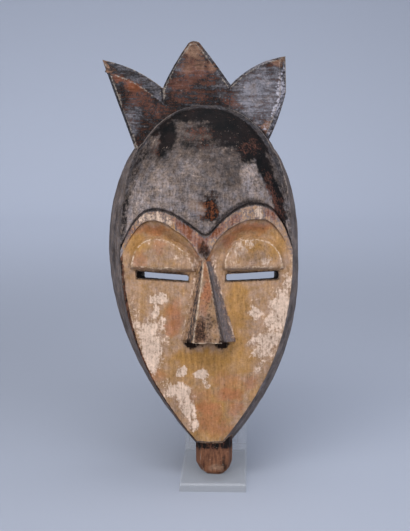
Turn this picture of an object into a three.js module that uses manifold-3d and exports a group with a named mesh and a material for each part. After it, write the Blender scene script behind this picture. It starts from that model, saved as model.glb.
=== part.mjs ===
// A carved wooden face mask with a three-pointed crown, standing on a clear acrylic stand.
// Units are millimetres. The whole is +Z up, and the mask looks towards -Y.
// The mask is worked out in its own upright frame: x to the right, up along the mask,
// and out from the plane of its hollow back towards the front. It is then leaned back.
import * as THREE from "three";
import { mergeVertices } from "three/addons/utils/BufferGeometryUtils.js";
import Module from "manifold-3d";

const wasm = await Module();
wasm.setup();

// How the mask stands
const LEAN = THREE.MathUtils.degToRad(8.5);
const TOUCH_GAP = 0.3;

// The face is a shield with a domed top, seen from the front, and its back rim is a wider one.
// half: half width at its widest, level: the height of that, crown: how far the arch rises over it,
// taper: how far below it the sides would meet, and the two powers that shape arch and taper.
const FACE = {
  half: 80, level: 216, crown: 131.5, taper: 197, archPower: 2.2, taperPower: 2.3,
  bottom: 33.4, shoulder: 311, middle: -0.5, leanBelow: 0.02, leanAbove: -0.02,
};
const RIM = {
  half: 92.6, level: 212, crown: 133, taper: 207.5, archPower: 2.2, taperPower: 2.25,
  bottom: 18, shoulder: 308, middle: -6, leanBelow: 0.062, leanAbove: 0,
};
const SIDE_BOW = 2.2;

// The hollow in the back: its opening in the back plane, and its floor behind the face
const HOLLOW_MOUTH = {
  half: 81, level: 212, crown: 120, taper: 185, archPower: 2.2, taperPower: 2.25,
  bottom: 58, shoulder: 292, middle: -6, leanBelow: 0.062, leanAbove: 0,
};
const HOLLOW_FLOOR = {
  half: 64, level: 214, crown: 102, taper: 168, archPower: 2.2, taperPower: 2.3,
  bottom: 82, shoulder: 280, middle: -1, leanBelow: 0.02, leanAbove: -0.02,
};

// How far out the surfaces stand
const CHIN_OUT = 67;
const EYE_OUT = 75;
const ARCH_OUT = 64;
const CHEEK_RISE = 7.5;
const CHIN_RISE = 3;
const BROW_RISE = 18;
const DOME_RISE = 44;
const SOCKET_DEPTH = 3;
const SOCKET_BELOW = 12;
const SOCKET_WIDTH = 7;
const WALL = 13;

// Brows: the upper and the lower edge of one band that runs over both eyes, as heights from left
// to right. Its upper edge dips to a notch, and its lower edge runs down into the root of the nose.
const BROW_TOP = [
  [-81, 211], [-72, 230], [-61, 244], [-48, 249], [-33, 246], [-12, 233], [-0.4, 226],
  [15, 240], [30, 251], [46, 255], [62, 248.6], [73, 233], [81, 211],
];
const BROW_LOW = [
  [-81, 203], [-70, 225], [-60, 236.6], [-48, 239.8], [-30, 232], [-14, 219], [-5.4, 206],
  [-2.2, 202.5], [0.9, 205.6], [9, 220.5], [25, 234.8], [46, 241.3], [60, 238], [71, 224], [81, 202],
];
const BAND_SETBACK = 2;
const BAND_SLOPE = 2.2;
const BROW_STEP = 3.6;
const BROW_FADE = 9;
const GROOVE_DEPTH = 3.6;
const GROOVE_WIDTH = 2.4;

// Eyelids: half-moons with a straight lower edge over the slits. foot is the height of that edge
// under the peak and tilt its slope, and rise is how far they stand out of the cheek's surface.
const LIDS = [
  { peak: -46, inner: 34, outer: 23, innerPower: 1.85, outerPower: 2.2, foot: 194, tilt: -0.03, tall: 28.6 },
  { peak: 44, inner: 26.5, outer: 26, innerPower: 2.5, outerPower: 2.2, foot: 194.8, tilt: 0.02, tall: 28 },
];
const LID_STEPS = 22;
const LID_RINGS = [
  { grow: 4, rise: -4, shrink: 0 },
  { grow: 3, rise: -0.5, shrink: 0 },
  { grow: 0, rise: 4.2, shrink: 0 },
  { grow: 0, rise: 6, shrink: 0.35 },
  { grow: 0, rise: 6.8, shrink: 0.7 },
];

// Eye slits, cut right through, with a blind recess at their outer ends.
// Each end is given as its place across, its lower and its upper edge.
const SLITS = [
  { inner: [-16.6, 184.2, 189.6], outer: [-58.4, 186.5, 192.9], recess: -64.5 },
  { inner: [18.5, 184.7, 190.8], outer: [62.9, 186.8, 193.8], recess: 66.6 },
];
const SLIT_FRONT_OUT = 96;
const SLIT_RECESS_OUT = 72;
const SLIT_BACK_OUT = 62;
const SLIT_END_OUT = 40;

// Nose: half widths of its front, the foot of its steep sides and the foot of its flares
const NOSE_SECTIONS = [
  { up: 129, x: 2, front: 13, steep: 19.5, flare: 25.2, out: 106, steepOut: 89, flareOut: 81 },
  { up: 160, x: 1, front: 8, steep: 12.8, flare: 17.5, out: 99.5, steepOut: 87, flareOut: 81.5 },
  { up: 193.5, x: -0.3, front: 2.6, steep: 6, flare: 9.5, out: 93, steepOut: 86.5, flareOut: 82 },
  { up: 201, x: -1.3, front: 1.7, steep: 3.6, flare: 6.5, out: 89.6, steepOut: 86, flareOut: 81 },
  { up: 213, x: -2, front: 1.5, steep: 3, flare: 5, out: 85.5, steepOut: 82, flareOut: 79 },
];
const NOSE_ROOT_OUT = 72;
const NOSTRILS = [{ x: -13.6 }, { x: 15 }];
const NOSTRIL = { half: 4.2, low: 122.6, high: 134, back: 78, front: 95 };

// Crown: three pointed lobes cut from one slab. Each edge goes from the last point to its own,
// with a sag outwards, and then a bevel: inset is its width and drop how far it falls back.
const CROWN_OUT = 57;
const CROWN_TIP_OUT = 52;
const CROWN_BACK = 30;
const CROWN_TIP_BACK = 37;
const CROWN_FOOT = 310;
const CROWN_TOP = 408;
const LOBES = [
  {
    start: [-48, 298],
    edges: [
      { to: [-68.6, 307.4], inset: 1, drop: 2 },
      { to: [-100.6, 391.4], inset: 2.6, drop: 3 },
      { to: [-43.1, 364.6], sag: 4, inset: 11.5, drop: 9 },
      { to: [-20, 326], inset: 1, drop: 2 },
    ],
  },
  {
    start: [-42, 318],
    edges: [
      { to: [-43.2, 363], inset: 1.5, drop: 2 },
      { to: [-19, 406.4], sag: 1.5, inset: 2, drop: 3 },
      { to: [-9, 407.4], sag: 1.6, inset: 2.5, drop: 3 },
      { to: [21.1, 367.4], sag: 0.5, inset: 3, drop: 3.5 },
      { to: [22, 318], inset: 1.5, drop: 2 },
    ],
  },
  {
    start: [2, 322],
    edges: [
      { to: [21, 367.6], inset: 1, drop: 2 },
      { to: [72.4, 394.6], sag: 5, inset: 2.2, drop: 3 },
      { to: [73, 361], inset: 5.5, drop: 4.5 },
      { to: [56, 314], sag: 1.5, inset: 4.5, drop: 4.5 },
      { to: [40, 300], inset: 1, drop: 2 },
    ],
  },
];
const EDGE_STEPS = 4;

// Peg under the chin: a tongue with a faceted front, its foot cut level with the stand
const PEG_MIDDLE = 7.3;
const PEG_BACK = 38;
const PEG_FRONT = 64;
const PEG_FOOT = 0.3;
const PEG_SECTIONS = [
  { up: 0, x: 1.3, half: 9.4, shallow: 3 },
  { up: 3, x: 1, half: 13.6, shallow: 1 },
  { up: 10, x: 0.2, half: 17, shallow: 0 },
  { up: 26, x: 0, half: 17.3, shallow: 0 },
  { up: 52, x: 0, half: 16.6, shallow: 0 },
];
// Across the peg from left to right, and out from its back, as shares of its half width and depth
const PEG_FACETS = [[-1, 0], [-1, 0.62], [-0.72, 0.93], [-0.1, 1], [0.5, 0.97], [0.82, 0.8], [1, 0.42], [1, 0]];

// Clear acrylic stand: a bevelled base plate and a three-sided upright, open at the back
const PLATE = { wide: 62, deep: 122, thick: 8, bevel: 2.2 };
const PLATE_FRONT_GAP = 22;
const UPRIGHT = { wide: 62, deep: 28, thick: 4, corner: 10, tall: 146, cornerSteps: 8 };

// Fineness of the carved skin, whose columns are closer in the middle
const COLUMNS = 36;
const COLUMN_SPREAD = 1.35;
const CHEEK_ROWS = 20;
const DOME_ROWS = 17;
const SIDE_RINGS = 4;
const HOLLOW_COLUMNS = 14;
const HOLLOW_ROWS = 18;

const mix = THREE.MathUtils.lerp;
const smooth = THREE.MathUtils.smoothstep;

// A point of the mask's own frame as a three.js vector
function place(x, up, out) {
  return new THREE.Vector3(x, -out, up);
}

// Half width of a shield outline at a height
function halfAt(shape, up) {
  if (up > shape.level) {
    const rise = Math.min((up - shape.level) / shape.crown, 1);
    return shape.half * (1 - rise ** shape.archPower) ** (1 / shape.archPower);
  }
  return shape.half * (1 - ((shape.level - up) / shape.taper) ** shape.taperPower);
}

// Middle line of a shield outline, which leans a little to one side
function middleAt(shape, up) {
  const below = shape.level - up;
  return shape.middle + below * (below > 0 ? shape.leanBelow : -shape.leanAbove);
}

// Height of the arch over a column, s from -1 at the left shoulder to 1 at the right
function archAt(shape, s) {
  const across = (Math.abs(s) * halfAt(shape, shape.shoulder)) / shape.half;
  return shape.level + shape.crown * (1 - across ** shape.archPower) ** (1 / shape.archPower);
}

// A point on a sheet stretched over a shield: s across, v from its foot to its arch
function outlinePoint(shape, s, v) {
  const up = mix(shape.bottom, archAt(shape, s), v);
  const side = mix(shape.bottom, shape.shoulder, v);
  return [middleAt(shape, up) + s * halfAt(shape, side), up];
}

// Share of the way from the middle of the face to its edge, 0 to 1
function edgeShare(x, up) {
  const across = Math.abs(x - middleAt(FACE, up));
  if (up <= FACE.level) return Math.min(across / halfAt(FACE, up), 1);
  const p = FACE.archPower;
  const rise = (up - FACE.level) / FACE.crown;
  return Math.min(((across / FACE.half) ** p + rise ** p) ** (1 / p), 1);
}

function edgeOut(up) {
  if (up < 200) return EYE_OUT - (EYE_OUT - CHIN_OUT) * ((200 - up) / (200 - FACE.bottom)) ** 1.5;
  return EYE_OUT - (EYE_OUT - ARCH_OUT) * smooth(up, 200, 305);
}

function cheekOut(x, up) {
  const rise = CHIN_RISE + (CHEEK_RISE - CHIN_RISE) * smooth(up, FACE.bottom, 120);
  return edgeOut(up) + rise * (1 - edgeShare(x, up) ** 2);
}

function domeOut(x, up) {
  const rise = BROW_RISE + (DOME_RISE - BROW_RISE) * smooth(up, 215, 285);
  return edgeOut(up) + rise * (1 - edgeShare(x, up) ** 2.2) ** 0.85;
}

// A smooth height over a place across the face, through the points of an edge
function heightOver(points) {
  const curve = new THREE.CubicInterpolant(points.map((p) => p[0]), points.map((p) => p[1]), 1);
  return (x) => curve.evaluate(x)[0];
}

const browTop = heightOver(BROW_TOP);
const browLow = heightOver(BROW_LOW);

function bandOut(x) {
  return domeOut(x, browTop(x)) - BAND_SETBACK;
}

// The surface below the brow: a step under the band, then a channel round the eyelid, then the cheek
function underBrowOut(x, up) {
  const low = browLow(x);
  const below = Math.max(low - up, 0);
  const inside = 1 - edgeShare(x, up) ** 6;
  const lift = bandOut(x) - BAND_SLOPE - BROW_STEP - cheekOut(x, low);
  const channel = SOCKET_DEPTH * Math.exp(-(((below - SOCKET_BELOW) / SOCKET_WIDTH) ** 2));
  return cheekOut(x, up) + inside * (lift * Math.exp(-((below / BROW_FADE) ** 2)) - channel);
}

// Rows of the front skin from the chin to the arch. Each row gives a point for s from -1 to 1.
function faceRows() {
  const rowPoint = (heightAt, outAt) => (s) => {
    const up = heightAt(s);
    const side = heightAt(s < 0 ? -1 : 1);
    const x = middleAt(FACE, up) + s * halfAt(FACE, side);
    return [x, up, outAt(x, up, 1 - s ** 8)];
  };
  const low = (s) => browLow(FACE.middle + s * FACE.half);
  const top = (s) => browTop(FACE.middle + s * FACE.half);
  const rows = [];
  for (let j = 0; j <= CHEEK_ROWS; j++) {
    rows.push(
      rowPoint(
        (s) => mix(FACE.bottom, low(s), j / CHEEK_ROWS),
        (x, up) => underBrowOut(x, up),
      ),
    );
  }
  rows.push(rowPoint((s) => low(s) + 0.6, (x, up, inside) => mix(edgeOut(up), bandOut(x) - BAND_SLOPE, inside)));
  rows.push(rowPoint((s) => top(s), (x, up, inside) => mix(edgeOut(up), bandOut(x), inside)));
  rows.push(
    rowPoint((s) => top(s) + GROOVE_WIDTH / 2, (x, up, inside) => domeOut(x, up) - GROOVE_DEPTH * inside),
  );
  for (let j = 0; j <= DOME_ROWS; j++) {
    rows.push(
      rowPoint(
        (s) => mix(top(s) + GROOVE_WIDTH, archAt(FACE, s), (j / DOME_ROWS) ** 0.85),
        (x, up) => domeOut(x, up),
      ),
    );
  }
  return rows;
}

// Rows of a plain domed floor for the hollow
function hollowRows() {
  const rows = [];
  for (let j = 0; j <= HOLLOW_ROWS; j++) {
    rows.push((s) => {
      const [x, up] = outlinePoint(HOLLOW_FLOOR, s, j / HOLLOW_ROWS);
      const skin = mix(cheekOut(x, up), domeOut(x, up), smooth(up, 205, 265));
      const rounding = 9 * Math.abs(s) ** 3;
      return [x, up, skin - WALL - rounding];
    });
  }
  return rows;
}

// A geometry from points and triangles, turned so that its faces point outwards
function geometryOf(points, triangles) {
  let geometry = new THREE.BufferGeometry().setFromPoints(points);
  geometry.setIndex(triangles.flat());
  geometry = mergeVertices(geometry, 1e-3);
  const at = geometry.attributes.position;
  const corners = [new THREE.Vector3(), new THREE.Vector3(), new THREE.Vector3()];
  const kept = [];
  let volume = 0;
  for (let i = 0; i < geometry.index.count; i += 3) {
    const face = [0, 1, 2].map((k) => geometry.index.getX(i + k));
    if (new Set(face).size < 3) continue;
    face.forEach((vertex, k) => corners[k].fromBufferAttribute(at, vertex));
    volume += corners[0].dot(corners[1].clone().cross(corners[2]));
    kept.push(face);
  }
  const turned = volume < 0 ? kept.map(([a, b, c]) => [a, c, b]) : kept;
  geometry.setIndex(turned.flat());
  return geometry;
}

function solidOf(geometry) {
  return new wasm.Manifold(
    new wasm.Mesh({
      numProp: 3,
      vertProperties: new Float32Array(geometry.attributes.position.array),
      triVerts: new Uint32Array(geometry.index.array),
    }),
  );
}

// A closed block: a front sheet of rows, a side that runs back to an outline, and a flat back
function block({ rows, columns, front, back, backOut, rings, bow }) {
  const across = Array.from({ length: columns + 1 }, (_, i) => {
    const share = (2 * i) / columns - 1;
    return Math.sign(share) * Math.abs(share) ** COLUMN_SPREAD;
  });
  const points = [];
  const triangles = [];
  const quad = (a, b, c, d) => triangles.push([a, b, c], [a, c, d]);
  const index = (i, j) => j * (columns + 1) + i;
  rows.forEach((row) => across.forEach((s) => points.push(place(...row(s)))));
  const last = rows.length - 1;
  for (let j = 0; j < last; j++) {
    for (let i = 0; i < columns; i++) {
      const corners = [index(i, j), index(i + 1, j), index(i + 1, j + 1), index(i, j + 1)];
      // The fold of each cell is mirrored on the two sides of the face
      if (2 * i < columns) quad(...corners);
      else quad(corners[1], corners[2], corners[3], corners[0]);
    }
  }
  // The edge of the front sheet, in order round it, with where each point ends up in the back outline
  const loop = [];
  const sideShare = (i, j) => (points[index(i, j)].z - front.bottom) / (front.shoulder - front.bottom);
  for (let i = 0; i < columns; i++) loop.push([index(i, 0), across[i], 0]);
  for (let j = 0; j < last; j++) loop.push([index(columns, j), 1, sideShare(columns, j)]);
  for (let i = columns; i > 0; i--) loop.push([index(i, last), across[i], 1]);
  for (let j = last; j > 0; j--) loop.push([index(0, j), -1, sideShare(0, j)]);
  let ring = loop.map(([vertex]) => vertex);
  for (let k = 1; k <= rings; k++) {
    const t = k / rings;
    const next = loop.map(([vertex, s, v]) => {
      const [x, up] = outlinePoint(back, s, Math.min(Math.max(v, 0), 1));
      const point = points[vertex].clone().lerp(place(x, up, backOut), t);
      const outward = new THREE.Vector3(x - back.middle, 0, up - back.level).normalize();
      point.addScaledVector(outward, bow * Math.sin(Math.PI * t));
      return points.push(point) - 1;
    });
    next.forEach((_, i) => {
      const after = (i + 1) % next.length;
      quad(ring[i], next[i], next[after], ring[after]);
    });
    ring = next;
  }
  const flat = ring.map((vertex) => new THREE.Vector2(points[vertex].x, points[vertex].z));
  for (const [a, b, c] of THREE.ShapeUtils.triangulateShape(flat, [])) triangles.push([ring[a], ring[c], ring[b]]);
  return solidOf(geometryOf(points, triangles));
}

// A closed skin over rings of points with the same count, capped at both ends
function loft(rings) {
  const count = rings[0].length;
  const points = rings.flat();
  const triangles = [];
  for (let k = 0; k < rings.length - 1; k++) {
    for (let i = 0; i < count; i++) {
      const a = k * count + i;
      const b = k * count + ((i + 1) % count);
      triangles.push([a, b, b + count], [a, b + count, a + count]);
    }
  }
  const cap = (first, flip) => {
    const centre = rings[first].reduce((sum, p) => sum.add(p), new THREE.Vector3()).divideScalar(count);
    const middle = points.push(centre) - 1;
    for (let i = 0; i < count; i++) {
      const a = first * count + i;
      const b = first * count + ((i + 1) % count);
      triangles.push(flip ? [middle, b, a] : [middle, a, b]);
    }
  };
  cap(0, true);
  cap(rings.length - 1, false);
  return solidOf(geometryOf(points, triangles));
}

// A half-moon that rises from the socket: a flank, a crest all round, and a low bulge inside it
function eyelid(lid) {
  const footAt = (x) => lid.foot + lid.tilt * (x - lid.peak);
  const ringAt = ({ grow, rise, shrink }) =>
    Array.from({ length: LID_STEPS + 1 }, (_, i) => {
      const share = Math.cos((Math.PI * i) / LID_STEPS);
      const outerSide = share < 0 === lid.peak < 0;
      const span = (outerSide ? lid.outer : lid.inner) + grow;
      const power = outerSide ? lid.outerPower : lid.innerPower;
      const arch = (lid.tall + grow) * (1 - Math.abs(share) ** power) ** (1 / power);
      const x = lid.peak + share * span * (1 - shrink);
      const up = footAt(x) + arch * (1 - shrink);
      return place(x, up, cheekOut(x, up) + rise);
    });
  return loft(LID_RINGS.map(ringAt));
}

function slitCutter({ inner, outer, recess }) {
  const corners = (end, out) => [
    place(inner[0], inner[1], out),
    place(end, outer[1], out),
    place(end, outer[2], out),
    place(inner[0], inner[2], out),
  ];
  return loft([
    corners(recess, SLIT_FRONT_OUT),
    corners(recess, SLIT_RECESS_OUT),
    corners(outer[0], SLIT_BACK_OUT),
    corners(outer[0], SLIT_END_OUT),
  ]);
}

function nose() {
  return loft(
    NOSE_SECTIONS.map((n) =>
      [
        [-n.flare, NOSE_ROOT_OUT],
        [-n.flare, n.flareOut - 2],
        [-n.steep, n.steepOut],
        [-n.front, n.out],
        [n.front, n.out],
        [n.steep, n.steepOut],
        [n.flare, n.flareOut - 2],
        [n.flare, NOSE_ROOT_OUT],
      ].map(([x, out]) => place(n.x + x, n.up, out)),
    ),
  );
}

function nostrilCutter({ x }) {
  const { half, low, high, back, front } = NOSTRIL;
  const ring = (share, up) => [
    place(x - half * share, up, back),
    place(x + half * share, up, back),
    place(x + half * share * 0.7, up, mix(back, front, share)),
    place(x - half * share * 0.7, up, mix(back, front, share)),
  ];
  return loft([ring(1, low), ring(1, 129), ring(0.25, high)]);
}

// Points along one edge of a lobe, bowed outwards by its sag
function bowed(from, to, sag) {
  const [dx, dy] = [to[0] - from[0], to[1] - from[1]];
  const length = Math.hypot(dx, dy);
  const steps = sag ? EDGE_STEPS : 1;
  return Array.from({ length: steps }, (_, k) => {
    const t = k / steps;
    const rise = sag ? (sag * 4 * t * (1 - t)) / length : 0;
    return [from[0] + dx * t - dy * rise, from[1] + dy * t + dx * rise];
  });
}

function crownLobe({ start, edges }) {
  const rim = [];
  let from = start;
  edges.concat({ to: start, inset: 1, drop: 2 }).forEach((edge) => {
    bowed(from, edge.to, edge.sag ?? 0).forEach((point) => rim.push({ point, edge }));
    from = edge.to;
  });
  const count = rim.length;
  const inner = rim.map(({ point, edge }, i) => {
    const before = rim[(i + count - 1) % count];
    const after = rim[(i + 1) % count];
    const a = new THREE.Vector2(point[0] - before.point[0], point[1] - before.point[1]).normalize();
    const b = new THREE.Vector2(after.point[0] - point[0], after.point[1] - point[1]).normalize();
    const first = before.edge.inset;
    const second = edge.inset;
    // The two edges move inwards by their own insets, and this is where they meet
    const turn = a.x * b.y - a.y * b.x;
    if (Math.abs(turn) < 0.12) {
      const depth = (first + second) / 2;
      return [point[0] + b.y * depth, point[1] - b.x * depth];
    }
    const along = (first - second * a.dot(b)) / turn;
    return [point[0] + b.y * second - b.x * along, point[1] - b.x * second - b.y * along];
  });
  const height = (up) => smooth(up, CROWN_FOOT, CROWN_TOP);
  const frontOut = (up) => mix(CROWN_OUT, CROWN_TIP_OUT, height(up));
  const backOut = (up) => mix(CROWN_BACK, CROWN_TIP_BACK, height(up));
  const drop = (i) => (rim[i].edge.drop + rim[(i + count - 1) % count].edge.drop) / 2;
  return loft([
    inner.map(([x, up]) => place(x, up, backOut(up))),
    rim.map(({ point: [x, up] }) => place(x, up, backOut(up) + 2.5)),
    rim.map(({ point: [x, up] }, i) => place(x, up, frontOut(up) - drop(i))),
    inner.map(([x, up]) => place(x, up, frontOut(up))),
  ]);
}

function peg() {
  return loft(
    PEG_SECTIONS.map(({ up, x: shift, half, shallow }, k) =>
      PEG_FACETS.map(([x, share]) => {
        const out = mix(PEG_BACK + shallow, PEG_FRONT - shallow, share);
        // The foot is level with the ground, so it is cut at the angle of the lean
        const level = PEG_FOOT + up + (PEG_FRONT - out) * Math.tan(LEAN) * (k < 3 ? 1 : 0);
        return place(PEG_MIDDLE + shift + x * half, level, out);
      }),
    ),
  );
}

function carvedMask() {
  let body = block({
    rows: faceRows(), columns: COLUMNS, front: FACE, back: RIM, backOut: 0, rings: SIDE_RINGS, bow: SIDE_BOW,
  });
  LOBES.forEach((lobe) => (body = body.add(crownLobe(lobe))));
  body = body.add(peg());
  const hollow = block({
    rows: hollowRows(), columns: HOLLOW_COLUMNS, front: HOLLOW_FLOOR, back: HOLLOW_MOUTH, backOut: -1,
    rings: 4, bow: 1.5,
  });
  body = body.subtract(hollow);
  LIDS.forEach((lid) => (body = body.add(eyelid(lid))));
  body = body.add(nose());
  SLITS.forEach((slit) => (body = body.subtract(slitCutter(slit))));
  NOSTRILS.forEach((nostril) => (body = body.subtract(nostrilCutter(nostril))));
  return body;
}

// A manifold solid back as a geometry for a mesh
function meshOf(solid, material, name) {
  const { vertProperties, triVerts, numProp } = solid.getMesh();
  const positions = new Float32Array((vertProperties.length / numProp) * 3);
  for (let i = 0; i < positions.length / 3; i++) {
    positions.set(vertProperties.subarray(i * numProp, i * numProp + 3), i * 3);
  }
  const geometry = new THREE.BufferGeometry();
  geometry.setAttribute("position", new THREE.BufferAttribute(positions, 3));
  geometry.setIndex(new THREE.BufferAttribute(triVerts, 1));
  geometry.computeVertexNormals();
  const mesh = new THREE.Mesh(geometry, material);
  mesh.name = name;
  return mesh;
}

// Plate with a polished bevel round its top edge, centred on the peg
function basePlate() {
  const { wide, deep, thick, bevel } = PLATE;
  const ring = (inset, z) => [
    new THREE.Vector3(-wide / 2 + inset, inset, z),
    new THREE.Vector3(wide / 2 - inset, inset, z),
    new THREE.Vector3(wide / 2 - inset, deep - inset, z),
    new THREE.Vector3(-wide / 2 + inset, deep - inset, z),
  ];
  return loft([ring(0.6, -thick), ring(0, -thick + 0.6), ring(0, -bevel), ring(bevel, 0)]);
}

// Upright bent from sheet: a flat front and two sides that run back, open behind
function upright() {
  const { wide, deep, thick, corner, tall, cornerSteps } = UPRIGHT;
  const shape = new THREE.Shape();
  const half = wide / 2;
  const inside = corner - thick;
  shape.moveTo(-half, deep);
  shape.lineTo(-half, corner);
  shape.absarc(-half + corner, corner, corner, Math.PI, 1.5 * Math.PI, false);
  shape.lineTo(half - corner, 0);
  shape.absarc(half - corner, corner, corner, 1.5 * Math.PI, 2 * Math.PI, false);
  shape.lineTo(half, deep);
  shape.lineTo(half - thick, deep);
  shape.lineTo(half - thick, corner);
  shape.absarc(half - corner, corner, inside, 0, -Math.PI / 2, true);
  shape.lineTo(-half + corner, thick);
  shape.absarc(-half + corner, corner, inside, 1.5 * Math.PI, Math.PI, true);
  shape.lineTo(-half + thick, deep);
  shape.closePath();
  const geometry = new THREE.ExtrudeGeometry(shape, { depth: tall, bevelEnabled: false, curveSegments: cornerSteps });
  geometry.deleteAttribute("normal");
  geometry.deleteAttribute("uv");
  return solidOf(mergeVertices(geometry, 1e-3));
}

const wood = new THREE.MeshStandardMaterial({ color: 0x5b4a3a, roughness: 0.55, metalness: 0 });
const acrylic = new THREE.MeshStandardMaterial({
  color: 0xe8eef2, roughness: 0.05, metalness: 0, transparent: true, opacity: 0.35,
});

const leaned = new THREE.Group();
leaned.rotation.x = -LEAN;
leaned.add(meshOf(carvedMask(), wood, "mask"));

// The plate lies right under the peg's level foot, and the upright just behind the rim of the chin
const footFront = place(0, PEG_FOOT, PEG_FRONT).applyEuler(leaned.rotation);
const chinRim = place(0, HOLLOW_MOUTH.bottom, 0).applyEuler(leaned.rotation);
const plate = meshOf(basePlate(), acrylic, "stand_base");
plate.position.set(PEG_MIDDLE, footFront.y - PLATE_FRONT_GAP, footFront.z - TOUCH_GAP);
const back = meshOf(upright(), acrylic, "stand_upright");
back.position.set(PEG_MIDDLE, chinRim.y + TOUCH_GAP, plate.position.z + TOUCH_GAP);

const whole = new THREE.Group();
whole.add(leaned, plate, back);

// The origin is under the middle of the whole
const bounds = new THREE.Box3().setFromObject(whole, true);
const centre = bounds.getCenter(new THREE.Vector3());
whole.position.set(-centre.x, -centre.y, -bounds.min.z);

const object = new THREE.Group();
object.add(whole);

export default object;
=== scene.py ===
"""A carved wooden face mask with a three-pointed crown, on a clear acrylic stand."""

import math

import bmesh
import bpy
import numpy as np
from mathutils import Matrix, Vector, noise


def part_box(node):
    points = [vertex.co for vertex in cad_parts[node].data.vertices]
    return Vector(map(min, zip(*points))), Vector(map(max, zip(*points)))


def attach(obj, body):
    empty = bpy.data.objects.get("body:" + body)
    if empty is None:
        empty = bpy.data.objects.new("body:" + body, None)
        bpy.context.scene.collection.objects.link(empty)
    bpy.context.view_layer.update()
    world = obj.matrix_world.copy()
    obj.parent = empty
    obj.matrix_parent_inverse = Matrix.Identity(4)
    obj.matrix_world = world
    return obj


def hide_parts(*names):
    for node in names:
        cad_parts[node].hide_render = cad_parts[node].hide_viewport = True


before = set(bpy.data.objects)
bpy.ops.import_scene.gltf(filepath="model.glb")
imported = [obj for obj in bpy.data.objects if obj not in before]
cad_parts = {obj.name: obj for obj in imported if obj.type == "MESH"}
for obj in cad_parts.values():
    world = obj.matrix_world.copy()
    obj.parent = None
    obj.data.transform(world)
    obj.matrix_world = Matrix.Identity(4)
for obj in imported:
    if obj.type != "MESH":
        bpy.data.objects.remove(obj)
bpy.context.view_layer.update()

# ---------------------------------------------------------------------------------------------
# The carving's own frame, in millimetres: x to the right, up along the mask, and out from the
# plane of its hollow back. The whole is leaned back, and set down where the stand's plate is.

LEAN = math.radians(8.5)
PEG_MIDDLE = 7.3
PEG_FOOT = 0.3
PEG_FRONT = 64
PLATE_FRONT_GAP = 22
TOUCH_GAP = 0.3


def local_point(x, up, out):
    return Vector((x, -out, up))


def local_to_world():
    """The matrix from the carving's millimetres to the frame's metres."""
    turn = Matrix.Rotation(-LEAN, 4, "X")
    foot = turn @ local_point(0, PEG_FOOT, PEG_FRONT)
    low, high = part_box("stand_base")
    plate = Vector((PEG_MIDDLE, foot.y - PLATE_FRONT_GAP, foot.z - TOUCH_GAP))
    shift = Vector(((low.x + high.x) / 2, low.y, high.z)) * 1000 - plate
    return Matrix.Scale(0.001, 4) @ Matrix.Translation(shift) @ turn


PLACED = local_to_world()

# The outlines of the face, of the rim behind it, and of the hollow's mouth and floor. Above its level
# each one is an arch, and below it the sides draw in towards the bottom.
FACE = dict(
    half=80, level=216, crown=131.5, taper=197, arch_power=2.2, taper_power=2.3,
    bottom=33.4, shoulder=311, middle=-0.5, lean_below=0.02, lean_above=-0.02,
)
RIM = dict(
    half=92.6, level=212, crown=133, taper=207.5, arch_power=2.2, taper_power=2.25,
    bottom=18, shoulder=308, middle=-6, lean_below=0.062, lean_above=0,
)
HOLLOW_MOUTH = dict(
    half=81, level=212, crown=120, taper=185, arch_power=2.2, taper_power=2.25,
    bottom=58, shoulder=292, middle=-6, lean_below=0.062, lean_above=0,
)
HOLLOW_FLOOR = dict(
    half=64, level=214, crown=102, taper=168, arch_power=2.2, taper_power=2.3,
    bottom=82, shoulder=280, middle=-1, lean_below=0.02, lean_above=-0.02,
)
# How far the side walls and the hollow's walls bow out between their edges
SIDE_BOW = 2.2
HOLLOW_BOW = 1.5
OUTER_RIM_STEP = 1.2
INNER_RIM_STEP = 1.4
# How far the skin stands out of the plane of the back, and how it rises and sinks over the face
CHIN_OUT = 67
EYE_OUT = 75
ARCH_OUT = 64
CHEEK_RISE = 7.5
CHIN_RISE = 3
BROW_RISE = 18
DOME_RISE = 44
SOCKET_DEPTH = 3
SOCKET_BELOW = 12
SOCKET_WIDTH = 7
EYE_LEVEL = 200
CHEEK_LEVEL = 120
BROW_LEVEL = 215
DOME_LEVEL = 285
ARCH_LEVEL = 305
WALL = 13
SIDE_WALL_MORE = 9
# The edges of the brow band from left to right, and the groove that is cut over it
BROW_TOP = [
    (-81, 211), (-72, 230), (-61, 244), (-48, 249), (-33, 246), (-12, 233), (-0.4, 226),
    (15, 240), (30, 251), (46, 255), (62, 248.6), (73, 233), (81, 211),
]
BROW_LOW = [
    (-81, 203), (-70, 225), (-60, 236.6), (-48, 239.8), (-30, 232), (-14, 219), (-5.4, 206),
    (-2.2, 202.5), (0.9, 205.6), (9, 220.5), (25, 234.8), (46, 241.3), (60, 238), (71, 224), (81, 202),
]
BAND_SETBACK = 2
BAND_SLOPE = 2.2
BROW_STEP = 3.6
BROW_FADE = 9
GROOVE_DEPTH = 3.6
GROOVE_WIDTH = 2.4
LIDS = [
    dict(peak=-46, inner=34, outer=23, inner_power=1.85, outer_power=2.2, foot=194, tilt=-0.03, tall=28.6),
    dict(peak=44, inner=26.5, outer=26, inner_power=2.5, outer_power=2.2, foot=194.8, tilt=0.02, tall=28),
]
# Where a lid's surface stands, from outside its crest to its middle, as share of its half-moon
LID_SHARES = [0, 0.3, 0.65, 0.9, 0.965, 1.0, 1.03, 1.12, 1.2]
LID_RISES = [7.0, 6.8, 6.0, 4.5, 4.4, 4.7, 3.9, -0.5, -6]
LID_LIP = 3.2
LID_LIP_DROP = 4.6
BELOW_LID = -20
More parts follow.
